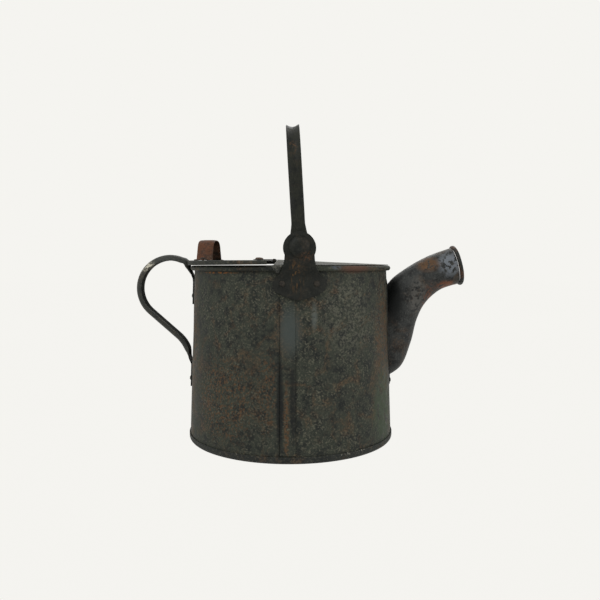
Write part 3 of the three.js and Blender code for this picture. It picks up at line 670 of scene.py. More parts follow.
@dataclass(frozen=True)
class AgedIron:
    """Old sheet or forged iron: dark ground, pale mottling, rust, streaks and local stains, and local
    patches of painted shade and painted highlight.
    """

    name: str
    slot: Slot
    deep: Colour = (0.010, 0.012, 0.011)
    ground: Colour = (0.030, 0.034, 0.026)
    bloom: Colour = (0.125, 0.120, 0.086)
    rust: Colour = (0.090, 0.050, 0.024)
    mottle: float = 0.6
    rusting: float = 0.5
    streaks: float = 0.3
    metallic: float = 0.2
    sheen: tuple[float, float] = (0.55, 0.78)
    relief: float = 0.25
    gloss: float = 0.16
    patches: tuple[Patch, ...] = ()

    def brew(self) -> bpy.types.Material:
        """Makes the material.

        Returns:
            The material, on Object coordinates.
        """
        mix = Brew(self.name)
        broad = mix.noise(42.0, 3.0, 0.55, warp=0.6)
        middle = mix.noise(9.0, 5.0, 0.6, shift=3.1)
        fine = mix.noise(2.1, 5.0, 0.7, shift=7.7)
        grit = mix.noise(0.9, 2.0, 0.6, shift=11.3)
        colour = mix.mix(mix.ramp(middle, 0.36, 0.60), self.deep, self.ground)
        pale = mix.both(mix.ramp(fine, 0.50, 0.64), mix.ramp(broad, 0.34, 0.62, 0.25, self.mottle))
        colour = mix.mix(pale, colour, self.bloom)
        pits = mix.both(mix.ramp(grit, 0.56, 0.66), mix.ramp(middle, 0.40, 0.6, 0.3, 0.9))
        colour = mix.mix(pits, colour, self.deep)
        runs = mix.noise(3.4, 3.0, 0.6, stretch=(1.0, 1.0, 14.0), shift=2.3)
        colour = mix.mix(mix.ramp(runs, 0.55, 0.72, 0.0, self.streaks), colour, self.deep)
        bite = mix.noise(24.0, 6.0, 0.68, shift=5.9, warp=0.8)
        rusty = mix.both(mix.ramp(bite, 0.50, 0.66, 0.0, self.rusting), mix.ramp(fine, 0.36, 0.60))
        colour = mix.mix(rusty, colour, self.rust)
        for index, patch in enumerate(self.patches):
            ragged = mix.noise(patch.grain, 5.0, 0.65, stretch=patch.stretch, shift=20.0 + index)
            edge = mix.ramp(ragged, 0.60 - 0.3 * patch.solid, 0.70 - 0.3 * patch.solid, 0.0, patch.share)
            colour = mix.mix(mix.both(mix.near(patch.centre, patch.reach), edge), colour, patch.colour)
        mix.put(mix.shader.inputs["Base Color"], colour)
        mix.shader.inputs["Metallic"].default_value = self.metallic
        mix.shader.inputs["Specular IOR Level"].default_value = self.gloss
        mix.put(mix.shader.inputs["Roughness"], mix.ramp(middle, 0.3, 0.7, *self.sheen))
        mix.bump(mix.sum("ADD", mix.both(fine, 0.6), mix.both(middle, 0.4)), self.relief)
        return mix.material


RUST_BRIGHT: Colour = (0.210, 0.078, 0.018)
RUST_BROWN: Colour = (0.085, 0.044, 0.020)
SLATE: Colour = (0.040, 0.048, 0.045)
# Near-black: soot along the seams, and painted shade in creases and under edges.
SOOT_AND_SHADE: Colour = (0.007, 0.008, 0.008)
DUST: Colour = (0.340, 0.330, 0.280)

BODY_FINISH = AgedIron(
    "body_aged_sheet", Slot.BODY,
    patches=(
        Patch((-72, -95, 62), (58, 60, 62), RUST_BROWN, 0.8, 2.6, 0.3),
        Patch((-24, -117, 75), (16, 12, 60), RUST_BROWN, 0.75, 2.4, 0.3),
        Patch((-112, -30, 120), (24, 40, 105), RUST_BROWN, 0.65, 3.6, 0.45),
        Patch((106, -50, 120), (22, 40, 95), RUST_BROWN, 0.65, 3.0, 0.45),
        Patch((104, -56, 45), (30, 34, 60), (0.036, 0.050, 0.030), 0.8, 8.0, 0.7),
        Patch((1, -119, 138), (19, 10, 36), SLATE, 0.95, 14.0, 1.3),
        Patch((-9.5, -118, 60), (5.0, 10, 74), SOOT_AND_SHADE, 0.85, 12.0, 1.1),
        Patch((4, -119, 62), (5.0, 10, 60), SOOT_AND_SHADE, 0.75, 12.0, 1.0),
        Patch((-2.8, -119, 40), (4, 10, 56), RUST_BROWN, 0.7, 2.4, 0.5),
        Patch((26, -115, 152), (5, 8, 22), (0.080, 0.090, 0.082), 0.7, 5.0, 0.8),
        Patch((66, -100, 150), (46, 40, 56), (0.110, 0.108, 0.082), 0.45, 3.0, 0.4),
        Patch((-76, -88, 195.2), (30, 40, 1.3), RUST_BRIGHT, 0.8, 4.0, 0.55),
        Patch((68, -92, 200), (28, 30, 7), (0.075, 0.036, 0.024), 0.8, 5.0, 0.9),
        # Painted highlight: a pale bluish patch on the rim bead beside the ear.
        Patch((48, -106, 201), (8, 9, 3), (0.060, 0.070, 0.086), 0.7, 3.0, 0.6),
        # Painted shade: a darker band along the rim bead under the edges of the lid and the cover.
        Patch((-40, -108, 200), (74, 40, 5.5), SOOT_AND_SHADE, 0.55, 9.0, 0.8),
    ),
)
PAN_FINISH = AgedIron(
    "pan_dark_sheet", Slot.BODY, ground=(0.022, 0.024, 0.022), mottle=0.35, rusting=0.35,
    patches=(
        Patch((60, -100, 9), (40, 40, 4), DUST, 0.9, 2.2, 0.12),
        Patch((-60, -100, 8), (30, 40, 4), DUST, 0.8, 2.0, 0.02),
    ),
)
COVER_FINISH = AgedIron(
    "cover_dusty_sheet", Slot.COVER, ground=(0.048, 0.048, 0.040), bloom=(0.240, 0.230, 0.185),
    mottle=0.8, rusting=0.4, streaks=0.1,
    # Darker on the folded right-hand tab beside the ear.
    patches=(Patch((-12, -118.6, 198), (14, 3.5, 5.5), SOOT_AND_SHADE, 0.75, 8.0, 0.9),),
)
LID_FINISH = AgedIron(
    "lid_dark_sheet", Slot.COVER, ground=(0.026, 0.027, 0.023), mottle=0.4, rusting=0.5, streaks=0.1,
)
SPOUT_FINISH = AgedIron(
    "spout_worn_sheet", Slot.SPOUT, deep=(0.010, 0.011, 0.011), ground=(0.030, 0.032, 0.031),
    bloom=(0.110, 0.108, 0.100), mottle=0.4, rusting=0.35, streaks=0.15, sheen=(0.42, 0.62),
    metallic=0.35,
    patches=(
        Patch((186, -18, 205), (20, 22, 20), (0.135, 0.150, 0.170), 0.75, 5.0, 0.6),
        Patch((160, -16, 205), (18, 22, 13), RUST_BROWN, 0.8, 5.0, 0.7),
        Patch((163, -12, 150), (13, 24, 46), (0.110, 0.042, 0.022), 0.75, 4.0, 0.5),
        Patch((183, -8, 180), (18, 24, 8), (0.150, 0.052, 0.022), 0.8, 4.0, 0.6),
        # Painted shade: near-black on the spout where it meets the wall.
        Patch((120, -22, 165), (15, 22, 42), SOOT_AND_SHADE, 0.95, 12.0, 1.3),
        Patch((148, -22, 165), (14, 16, 34), (0.090, 0.086, 0.078), 0.6, 5.0, 0.6),
    ),
)
LIP_FINISH = AgedIron(
    "lip_dark_bead", Slot.SPOUT, ground=(0.018, 0.019, 0.019), mottle=0.25, rusting=0.5,
    rust=(0.130, 0.050, 0.022), sheen=(0.42, 0.6),
)
HANDLE_FINISH = AgedIron(
    "handle_smooth_grip", Slot.HANDLE, deep=(0.018, 0.020, 0.019), ground=(0.030, 0.032, 0.029),
    mottle=0.22, rusting=0.15, streaks=0.05, sheen=(0.45, 0.6), relief=0.12,
    patches=(
        Patch((-168, -3, 201), (13, 14, 9), (0.420, 0.400, 0.330), 0.9, 4.0, 0.45),
        # Painted shade: near-black on the handle's lower end where it meets the wall.
        Patch((-122, 0, 80), (10, 14, 30), SOOT_AND_SHADE, 0.9, 9.0, 1.3),
    ),
)
BLACK_FINISH = AgedIron(
    "forged_black_iron", Slot.BLACK, deep=(0.005, 0.006, 0.005), ground=(0.011, 0.012, 0.010),
    bloom=(0.042, 0.040, 0.030), mottle=0.20, rusting=0.12, streaks=0.2, sheen=(0.48, 0.66),
    metallic=0.1,
    patches=(
        Patch((8, -121, 192), (11, 12, 22), (0.120, 0.062, 0.020), 0.6, 1.6, 0.25, (1.0, 1.0, 7.0)),
        Patch((18, -124, 212), (10, 10, 7), (0.080, 0.038, 0.018), 0.6, 3.0, 0.4),
    ),
)
BAIL_FINISH = AgedIron(
    "bail_black_strip", Slot.BLACK, deep=(0.005, 0.006, 0.005), ground=(0.013, 0.014, 0.010),
    bloom=(0.040, 0.039, 0.028), mottle=0.20, rusting=0.12, streaks=0.25, sheen=(0.5, 0.68),
    metallic=0.1,
    patches=(Patch((4, -119, 322), (6, 12, 11), (0.090, 0.046, 0.020), 0.6, 3.0, 0.35),),
)
STRAP_FINISH = AgedIron(
    "strap_rusty_iron", Slot.RUSTY, deep=(0.020, 0.014, 0.010), ground=(0.070, 0.032, 0.018),
    bloom=(0.130, 0.085, 0.055), rust=(0.095, 0.036, 0.018), mottle=0.45, rusting=0.8, streaks=0.2,
)
RIVET_FINISH = AgedIron(
    "rivet_hammered_iron", Slot.RIVET, deep=(0.010, 0.009, 0.008), ground=(0.030, 0.026, 0.021),
    bloom=(0.100, 0.080, 0.060), mottle=0.35, rusting=0.5, relief=0.2,
)
LID_RIVET_FINISH = AgedIron(
    "lid_rivet_brown_iron", Slot.RIVET, ground=(0.075, 0.048, 0.034), bloom=(0.190, 0.140, 0.110),
    mottle=0.5, rusting=0.6, relief=0.2,
)


class Dresser:
    """Gives pieces their finish and body, and keeps one material for each finish."""

    def __init__(self) -> None:
        """Starts with no materials made."""
        self.made: dict[str, bpy.types.Material] = {}

    def material(self, finish: AgedIron) -> bpy.types.Material:
        """Finds a finish's material, and makes it the first time.

        Args:
            finish: The finish.

        Returns:
            Its material.
        """
        if finish.name not in self.made:
            self.made[finish.name] = finish.brew()
        return self.made[finish.name]

    def dress(self, piece: bpy.types.Object, finish: AgedIron, rider: Rider, *nodes: str) -> None:
        """Finishes a new piece and lets it stand for the frame's nodes.

        Args:
            piece: The piece.
            finish: Its finish.
            rider: The body it moves with.
            nodes: The nodes that it stands for.
        """
        piece.data.materials.clear()
        piece.data.materials.append(self.material(finish))
        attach(piece, rider.value)
        if nodes:
            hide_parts(*nodes)
        LOG.info("%s: %d faces on %s", piece.name, len(piece.data.polygons), rider.value)

    def paint(self, node: bpy.types.Object, finish: AgedIron) -> None:
        """Gives a carried-over frame node its finish.

        Args:
            node: The node.
            finish: The finish.
        """
        node.data.materials.clear()
        node.data.materials.append(self.material(finish))
        LOG.info("%s: kept, in %s", node.name, finish.name)


# ---- Sub-assemblies --------------------------------------------------------------------------


@dataclass(frozen=True)
class Wall:
    """The tapering wall that most other pieces meet."""

    foot_radius: float = 119.65
    foot_height: float = 3.5
    taper: float = 6.75
    rise: float = 196.2
    sheet: float = 0.8

    def radius(self, height: float) -> float:
        """The outside radius at a height."""
        return self.foot_radius - self.taper * (height - self.foot_height) / self.rise

    def core(self, clearance: float) -> bpy.types.Object:
        """Makes the closed form that other pieces are cut to, so that they meet the wall.

        Args:
            clearance: How far it stands off the wall.

        Returns:
            The cutting form.
        """
        low, high = 30.0, 215.0
        clear_bench()
        bpy.ops.mesh.primitive_cone_add(
            vertices=192, radius1=(self.radius(low) + clearance) * MM,
            radius2=(self.radius(high) + clearance) * MM, depth=(high - low) * MM,
            location=metres((0, 0, (low + high) / 2)),
        )
        core = bpy.context.object
        core.name = "wall_core"
        bpy.ops.object.transform_apply(location=True, rotation=True, scale=True)
        return core


@dataclass
class Spout:
    """The bent, swelling spout: two half shells, a rolled mouth and the collar on the wall."""

    wall: Wall
    root_x: float = 112.9
    reach: float = 82.0
    foot_z: float = 69.7
    rise: float = 132.4
    stations: tuple[tuple[float, ...], ...] = (
        (1.0, 1.0, 21.7, 21.7, 12.9),
        (0.71, 0.937, 21.3, 21.2, 19.2),
        (0.44, 0.821, 23.6, 22.0, 29.2),
        (0.25, 0.676, 27.9, 22.6, 37.0),
        (0.116, 0.459, 29.0, 22.5, 47.8),
        (0.01, 0.208, 23.9, 20.5, 51.8),
        (-0.095, 0.032, 9.2, 9.0, 49.4),
    )
    steps: int = 40
    sides: int = 48
    seam_gap: float = 0.3
    lip_radius: float = 2.3
    lip_ring: float = 21.7
    lip_gap: float = 0.3

    def station(self, share: float) -> list[float]:
        """Finds the spout's section between its stations.

        Args:
            share: 0 at the mouth and 1 at the root.

        Returns:
            Reach, rise, half height, half width and lean.
        """
        last = len(self.stations) - 1
        whole = min(int(share * last), last - 1)
        t = share * last - whole
        rows = [self.stations[max(0, min(last, whole + k))] for k in (-1, 0, 1, 2)]
        values = []
        for a, b, c, d in zip(*rows):
            pull, push = (c - a) / 2, (d - b) / 2
            cubic = (2 * b - 2 * c + pull + push) * t**3
            square = (-3 * b + 3 * c - 2 * pull - push) * t**2
            values.append(cubic + square + pull * t + b)
        return values

    def ring(self, share: float, grow: float, past: float = 0.0) -> None:
        """Adds one round section in edit mode, sized, leaned and moved to its place.

        Args:
            share: 0 at the mouth and 1 at the root.
            grow: How much larger the ring is than the outside.
            past: How far it is moved on along the spout.
        """
        reach, rise, half_height, half_width, lean = self.station(share)
        bpy.ops.mesh.select_all(action="DESELECT")
        bpy.ops.mesh.primitive_circle_add(vertices=self.sides, radius=MM)
        bpy.ops.transform.resize(
            value=(half_height + grow, half_width + grow, 1), center_override=(0, 0, 0)
        )
        turn(-90 - lean, "Y")
        tilt = math.radians(lean)
        place = (
            self.root_x + reach * self.reach + past * math.cos(tilt),
            0.0,
            self.foot_z + rise * self.rise + past * math.sin(tilt),
        )
        bpy.ops.transform.translate(value=metres(place))

    def tube(self, name: str, grow: float, closed: bool) -> bpy.types.Object:
        """Bridges the rings into the spout's tube.

        Args:
            name: The piece's name.
            grow: How much each ring is larger than the outside of the spout.
            closed: Whether the tube runs on past the mouth and is capped, as a cutting form.

        Returns:
            The tube.
        """
        piece = new_piece(name)
        bpy.ops.mesh.delete(type="VERT")
        if closed:
            self.ring(0.0, grow, 8.0)
        for share in even(0.0, 1.0, self.steps):
            self.ring(share, grow)
        bpy.ops.mesh.select_all(action="SELECT")
        bpy.ops.mesh.bridge_edge_loops(type="SINGLE")
        if closed:
            bpy.ops.mesh.select_all(action="DESELECT")
            bpy.ops.mesh.select_non_manifold()
            bpy.ops.mesh.fill_holes(sides=0)
        close_mesh()
        return piece

    def shells(self) -> dict[Side, bpy.types.Object]:
        """Makes the two half shells, cut where they meet the wall.

        Returns:
            The halves by side.
        """
        halves = {}
        for side in Side:
            half = self.tube(f"spout_half_{side.word}", -self.wall.sheet / 2, False)
            trim(half, (0, side.value * self.seam_gap / 2, 0), (0, -side.value, 0))
            thicken(half, self.wall.sheet)
            cut(half, self.wall.core(0.35))
            soften(half, 0.18)
            halves[side] = half
        return halves

    def lip(self) -> bpy.types.Object:
        """Makes the rolled mouth.

        Returns:
            The piece.
        """
        clear_bench()
        bpy.ops.mesh.primitive_torus_add(
            major_radius=self.lip_ring * MM, minor_radius=self.lip_radius * MM,
            major_segments=72, minor_segments=16,
        )
        lip = bpy.context.object
        lip.name = "spout_rolled_lip"
        open_all(lip)
        lean = self.stations[0][4]
        turn(90 - lean, "Y")
        ahead = self.lip_radius + self.lip_gap
        tilt = math.radians(lean)
        mouth = (self.root_x + self.reach, self.foot_z + self.rise)
        place = (mouth[0] + ahead * math.cos(tilt), 0.0, mouth[1] + ahead * math.sin(tilt))
        bpy.ops.transform.translate(value=metres(place))
        bpy.ops.object.mode_set(mode="OBJECT")
        dent(lip, 0.5, 14.0, lambda spot: 1.0)
        smooth(lip, 180)
        return lip

    def build(self, dresser: Dresser, nodes: dict[str, bpy.types.Object]) -> None:
        """Builds and dresses the spout.

        Args:
            dresser: Gives the pieces their finish.
            nodes: The frame's nodes by name.
        """
        for side, half in self.shells().items():
            dresser.dress(half, SPOUT_FINISH, Rider.CAN, f"spout_shell_{side.word}")
        dresser.dress(self.lip(), LIP_FINISH, Rider.CAN, "spout_lip_bead")
        collar = traced(nodes["spout_root_flange"], "spout_wall_collar")
        soften(collar, 0.2)
        dresser.dress(collar, SPOUT_FINISH, Rider.CAN, "spout_root_flange")
        dresser.paint(nodes["spout_lip_wire"], RIVET_FINISH)


@dataclass
class BodyShell:
    """The can's wall in two lapped sheets with a wired rim, and the pan under it."""

    wall: Wall
    seam_angle: float = 90.7
    lap_angle: float = 7.66
    lap_step: float = 1.1
    bead_ring: float = 114.9
    bead_height: float = 199.7
    bead_radius: float = 2.4
    curl_end: float = -118.0
    rows: int = 30
    pan_radius: float = 120.35
    pan_band: float = 8.1
    pan_corner: float = 3.5
    unevenness: float = 1.1

    def wall_profile(self) -> list[Flat]:
        """Lists the wall's middle line from its turned-in foot to the end of the rim's curl.

        Returns:
            Places as radius and height.
        """
        half = self.wall.sheet / 2
        foot = [(112.7, 1.5), (116.2, 1.5), (118.1, 1.9), (118.95, 3.2)]
        rising = [(self.wall.radius(z) - half, z) for z in even(6.0, 196.0, self.rows)]
        curl = arc((self.bead_ring, self.bead_height), self.bead_radius, 180, self.curl_end, 18)
        return foot + rising + curl

    def uneven(self, spot: Vector) -> float:
        """The share of the unevenness at a place: none at the foot, the rim or the spout.

        Args:
            spot: The place.

        Returns:
            A share from 0 to 1.
        """
        ends = min(settled((spot.z - 10) / 40), settled((188 - spot.z) / 40))
        clear_of_spout = settled((math.hypot(spot.y, max(0.0, 60 - spot.x)) - 24) / 30)
        return ends * clear_of_spout

    def sheet(self, name: str, start: float, sweep: float) -> bpy.types.Object:
        """Spins one sheet of the wall and makes it uneven.

        Args:
            name: The piece's name.
            start: Its first angle.
            sweep: The angle it spans.

        Returns:
            The sheet.
        """
        sheet = lathe(name, self.wall_profile(), start, sweep, round(abs(sweep) / 2))
        dent(sheet, self.unevenness, 55.0, self.uneven)
        thicken(sheet, self.wall.sheet)
        return sheet

    def flap(self, side: Side) -> bpy.types.Object:
        """Makes the back sheet's lap over the front sheet at one seam.

        Args:
            side: The seam's side.

        Returns:
            The lap.
        """
        offset = self.lap_step - self.wall.sheet / 2
        profile = [(self.wall.radius(z) + offset, z) for z in even(9.4, 196.0, self.rows)]
        end = self.seam_angle + self.lap_angle / 2
        start = end - self.lap_angle
        flap = lathe(f"lap_{side.word}", profile, side.value * start, side.value * self.lap_angle, 6)
        dent(flap, self.unevenness, 55.0, self.uneven)
        thicken(flap, self.wall.sheet)
        return flap

    def pan(self) -> bpy.types.Object:
        """Makes the bottom pan with its turned-up band.

        Returns:
            The pan.
        """
        low = self.wall.sheet / 2
        turned_at = (self.pan_radius - self.pan_corner, low + self.pan_corner)
        flat = [(0.0, low), (60.0, low), (100.0, low)]
        band = [(self.pan_radius, 6.0), (self.pan_radius, self.pan_band)]
        profile = flat + arc(turned_at, self.pan_corner, -90, 0, 8) + band
        pan = lathe("foot_pan", profile, steps=180)
        thicken(pan, self.wall.sheet)
        soften(pan, 0.3)
        return pan

    def build(self, dresser: Dresser, nodes: dict[str, bpy.types.Object], spout: Spout) -> None:
        """Builds and dresses the wall, the pan and the wire.

        Args:
            dresser: Gives the pieces their finish.
            nodes: The frame's nodes by name.
            spout: Opens its way through the front sheet.
        """
        half = self.seam_angle + self.lap_angle / 2
        front = self.sheet("wall_front", -half, 2 * half)
        cut(front, spout.tube("spout_way", -self.wall.sheet, True))
        soften(front, 0.2)
        dresser.dress(front, BODY_FINISH, Rider.CAN, "body_front_sheet")
        back = self.sheet("wall_back", half + 0.15, 360 - 2 * half - 0.3)
        back = join("wall_back", [back, self.flap(Side.RIGHT), self.flap(Side.LEFT)])
        soften(back, 0.25)
        dresser.dress(back, BODY_FINISH, Rider.CAN, "body_back_sheet")
        dresser.dress(self.pan(), PAN_FINISH, Rider.CAN, "bottom_pan")
        dresser.paint(nodes["rim_wire"], RIVET_FINISH)


@dataclass
class Lids:
    """The fixed cover, the hinged lid, its lifting strap and the hinge between them."""

    wall: Wall
    cover_edge: float = -15.9
    cover_peak: float = 209.2
    cover_rim: float = 115.1
    cover_foot: float = 203.2
    tab_rows: tuple[tuple[float, float, float, float], ...] = (
        (108.6, 203.3, -15.6, -7.1),
        (114.9, 203.1, -17.6, -7.1),
        (117.3, 202.4, -18.8, -7.1),
        (118.4, 200.4, -17.0, -7.4),
        (118.4, 197.6, -14.6, -8.9),
        (118.4, 195.0, -12.4, -10.3),
    )
    lid_radius: float = 120.6
    lid_edge: float = -22.3
    lid_top: float = 208.0
    lid_crown: float = 0.5
    lid_bend: float = 1.4
    lid_skirt: float = 202.6
    skirt_low: float = 202.9
    skirt_high: float = 204.1
    strap_x: float = -97.0
    strap_width: float = 18.8
    strap_thick: float = 1.2
    strap_half: float = 23.5
    strap_foot: float = 13.0
    strap_low: float = 209.4
    strap_rise: float = 22.8
    strap_turn: float = 5.0

    def cover(self) -> bpy.types.Object:
        """Makes the shallow cover: a disc whose middle is lifted to its peak at the hinge.

        Returns:
            The cover.
        """
        clear_bench()
        bpy.ops.mesh.primitive_circle_add(
            vertices=144, radius=self.cover_rim * MM, fill_type="TRIFAN",
            location=(0, 0, self.cover_foot * MM),
        )
        cover = bpy.context.object
        bpy.ops.object.transform_apply(location=True, rotation=True, scale=True)
        bpy.ops.object.mode_set(mode="EDIT")
        bpy.ops.mesh.select_mode(type="VERT")
        bpy.ops.mesh.select_all(action="DESELECT")
        bpy.ops.object.mode_set(mode="OBJECT")
        for vertex in cover.data.vertices:
            vertex.select = vertex.co.xy.length < MM
        bpy.ops.object.mode_set(mode="EDIT")
        lift = (self.cover_edge, 0, self.cover_peak - self.cover_foot)
        bpy.ops.transform.translate(value=metres(lift))
        bpy.ops.mesh.select_all(action="SELECT")
        bpy.ops.mesh.subdivide(number_cuts=3)
        bpy.ops.object.mode_set(mode="OBJECT")
        trim(cover, (self.cover_edge, 0, 0), (-1, 0, 0))
        dent(
            cover, 0.5, 30.0,
            lambda spot: settled((110 - spot.xy.length) / 20) * settled((spot.x - 12) / 20),
        )
        thicken(cover, self.wall.sheet)
        return cover

    def tab(self) -> bpy.types.Object:
        """Makes the right-hand folded corner of the cover, over the rim and down before the ear.

        Returns:
            The tab.
        """
        rows = []
        for radius, height, back, front in self.tab_rows:
            rows.append([(x, -math.sqrt(radius**2 - x**2), height) for x in even(back, front, 5)])
        tab = loft("tab_right", rows)
        thicken(tab, self.wall.sheet)
        return tab

    def lid(self) -> bpy.types.Object:
        """Makes the lid: a dished disc with a turned-down edge, cut straight at the hinge.

        Returns:
            The lid.
        """
        rings = [0.0, 15.0, 35.0, 55.0, 75.0, 92.0, 106.0, 115.0]
        top = [(r, self.lid_top + self.lid_crown * (1 - r / self.lid_radius)) for r in rings]
        bent_at = (self.lid_radius - self.lid_bend, self.lid_top - self.lid_bend)
        corner = arc(bent_at, self.lid_bend, 90, 0, 5)
        lid = lathe("lid_sheet", [*top, *corner, (self.lid_radius, self.lid_skirt)], steps=160)
        trim(lid, (self.lid_edge, 0, 0), (1, 0, 0))
        slope = (self.skirt_high - self.skirt_low) / (self.lid_edge + self.lid_radius)
        trim(lid, (self.lid_edge, 0, self.skirt_high), (slope, 0, -1))
        dent(
            lid, 0.45, 40.0,
            lambda spot: settled((105 - spot.xy.length) / 20) * settled((-46 - spot.x) / 16),
        )
        thicken(lid, self.wall.sheet)
        soften(lid, 0.22)
        return lid

    def strap(self) -> bpy.types.Object:
        """Makes the lifting strap, a flat band bent into a loop with two feet.

        Returns:
            The strap.
        """
        half, low, top = self.strap_half, 0.0, self.strap_rise
        left = [
            (-half - self.strap_foot, low), (-half - 8, low), (-half - 3, low),
            (-half - 1.2, low + 0.4), (-half - 0.3, low + 1.4), (-half + 0.2, low + 3),
            (-half + 1.4, low + 6), (-half + 2.6, low + 9), (-half + 3.5, top - 11.5),
            (-half + 4.7, top - 8.0), (-half + 6.4, top - 5.2), (-half + 9.2, top - 2.8),
            (-half + 13, top - 1.2), (-half + 18, top - 0.3),
        ]
        path = left + [(0.0, top)] + [(-x, z) for x, z in reversed(left)]
        width = self.strap_width / 2 - 0.1
        crown = [(share * width, -0.5 * share**4) for share in even(-1, 1, 8)]
        rows = swept_rows(path, lambda share, height: crown)
        strap = loft("lifting_strap", [[(w, y, z + self.strap_low) for y, z, w in row] for row in rows])
        thicken(strap, self.strap_thick)
        open_all(strap)
        turn(-self.strap_turn, "Z")
        bpy.ops.transform.translate(value=metres((self.strap_x, 0, 0)))
        bpy.ops.object.mode_set(mode="OBJECT")
        soften(strap, 0.4)
        return strap

    def build(self, dresser: Dresser, nodes: dict[str, bpy.types.Object]) -> None:
        """Builds and dresses the cover, the lid, the strap and the hinge.

        Args:
            dresser: Gives the pieces their finish.
            nodes: The frame's nodes by name.
        """
        tab = self.tab()
        cover = join("cover_sheet", [self.cover(), tab, mirrored(tab, "tab_left")])
        soften(cover, 0.22)
        dresser.dress(cover, COVER_FINISH, Rider.CAN, "top_cover")
        dresser.dress(self.lid(), LID_FINISH, Rider.LID, "lid")
        dresser.dress(self.strap(), STRAP_FINISH, Rider.LID, "lid_lift_strap")
        for node, name, rider in (
            ("hinge_leaf_lid", "lid_leaf", Rider.LID),
            ("hinge_leaf_cover", "cover_leaf", Rider.CAN),
        ):
            leaf = traced(nodes[node], name)
            soften(leaf, 0.12)
            dresser.dress(leaf, LID_FINISH, rider, node)
        dresser.paint(nodes["hinge_pin"], RIVET_FINISH)


@dataclass
class Ears:
    """The two bell-shaped ears that carry the bail's pivots."""

    wall: Wall
    place_x: float = PIVOT_X
    foot: float = 168.0
    thick: float = 2.6
    clearance: float = 1.4
    upper_inner: float = 120.4
    jog_low: float = 189.5
    jog_high: float = 205.5
    head_height: float = 220.5
    head_radius: float = 16.5
    rows: tuple[tuple[float, float, float], ...] = (
        (8.0, 0.0, 23.5), (10.5, 3.0, 26.2), (16.6, 10.0, 27.6), (22.5, 19.0, 25.0),
        (27.0, 25.5, 20.4), (33.0, 32.5, 17.0), (40.5, 40.5, 15.3),
    )
    columns: int = 20

    def inner(self, x: float, z: float) -> float:
        """The distance of the ear's inner face from the middle plane at a place.

        Args:
            x: The place's X.
            z: Its height.

        Returns:
            The distance.
        """
        low = self.wall.radius(min(z, 199.7)) + self.clearance
        share = settled((z - self.jog_low) / (self.jog_high - self.jog_low))
        return math.sqrt(low * low - x * x) * (1 - share) + self.upper_inner * share

    def outline(self) -> list[tuple[float, float, float]]:
        """Lists the ear's rows from foot to head: edge height, middle height and half width.

        Returns:
            The rows.
        """
        rows: list[tuple[float, float, float]] = []
        for low, high in zip(self.rows, self.rows[1:]):
            for share in (0.0, 0.5):
                rows.append(tuple(a + (b - a) * share for a, b in zip(low, high)))
        rows.append(self.rows[-1])
        body = [(self.foot + edge, self.foot + middle, half) for edge, middle, half in rows]
        start = math.degrees(math.asin((body[-1][0] + 5 - self.head_height) / self.head_radius))
        head = arc((0.0, self.head_height), self.head_radius, start, 87, 16)
        return body + [(z, z, x) for x, z in head]

    def plate(self) -> bpy.types.Object:
        """Makes the left-hand ear as a thick plate that hugs the wall and steps over the rim.

        Returns:
            The ear.
        """
        middle, rows = self.thick / 2, []
        for edge_z, middle_z, half in self.outline():
            row = []
            for share in even(-1, 1, self.columns):
                z = middle_z + (edge_z - middle_z) * abs(share) ** 1.5
                x = self.place_x + half * share
                row.append((x, self.inner(x, z) + middle, z))
            rows.append(row)
        plate = loft("ear_plate", rows)
        thicken(plate, self.thick)
        dent(plate, 0.5, 18.0, lambda spot: 0.6)
        soften(plate, 0.7, 3, 50)
        return plate

    def build(self, dresser: Dresser, nodes: dict[str, bpy.types.Object]) -> None:
        """Builds and dresses the ears and the washers behind them.

        Args:
            dresser: Gives the pieces their finish.
            nodes: The frame's nodes by name.
        """
        left = self.plate()
        right = mirrored(left, "ear_plate_right")
        left.name = "ear_plate_left"
        dresser.dress(left, BLACK_FINISH, Rider.CAN, "ear_left")
        dresser.dress(right, BLACK_FINISH, Rider.CAN, "ear_right")
        for side in Side:
            dresser.paint(nodes[f"pivot_washer_{side.word}"], RIVET_FINISH)


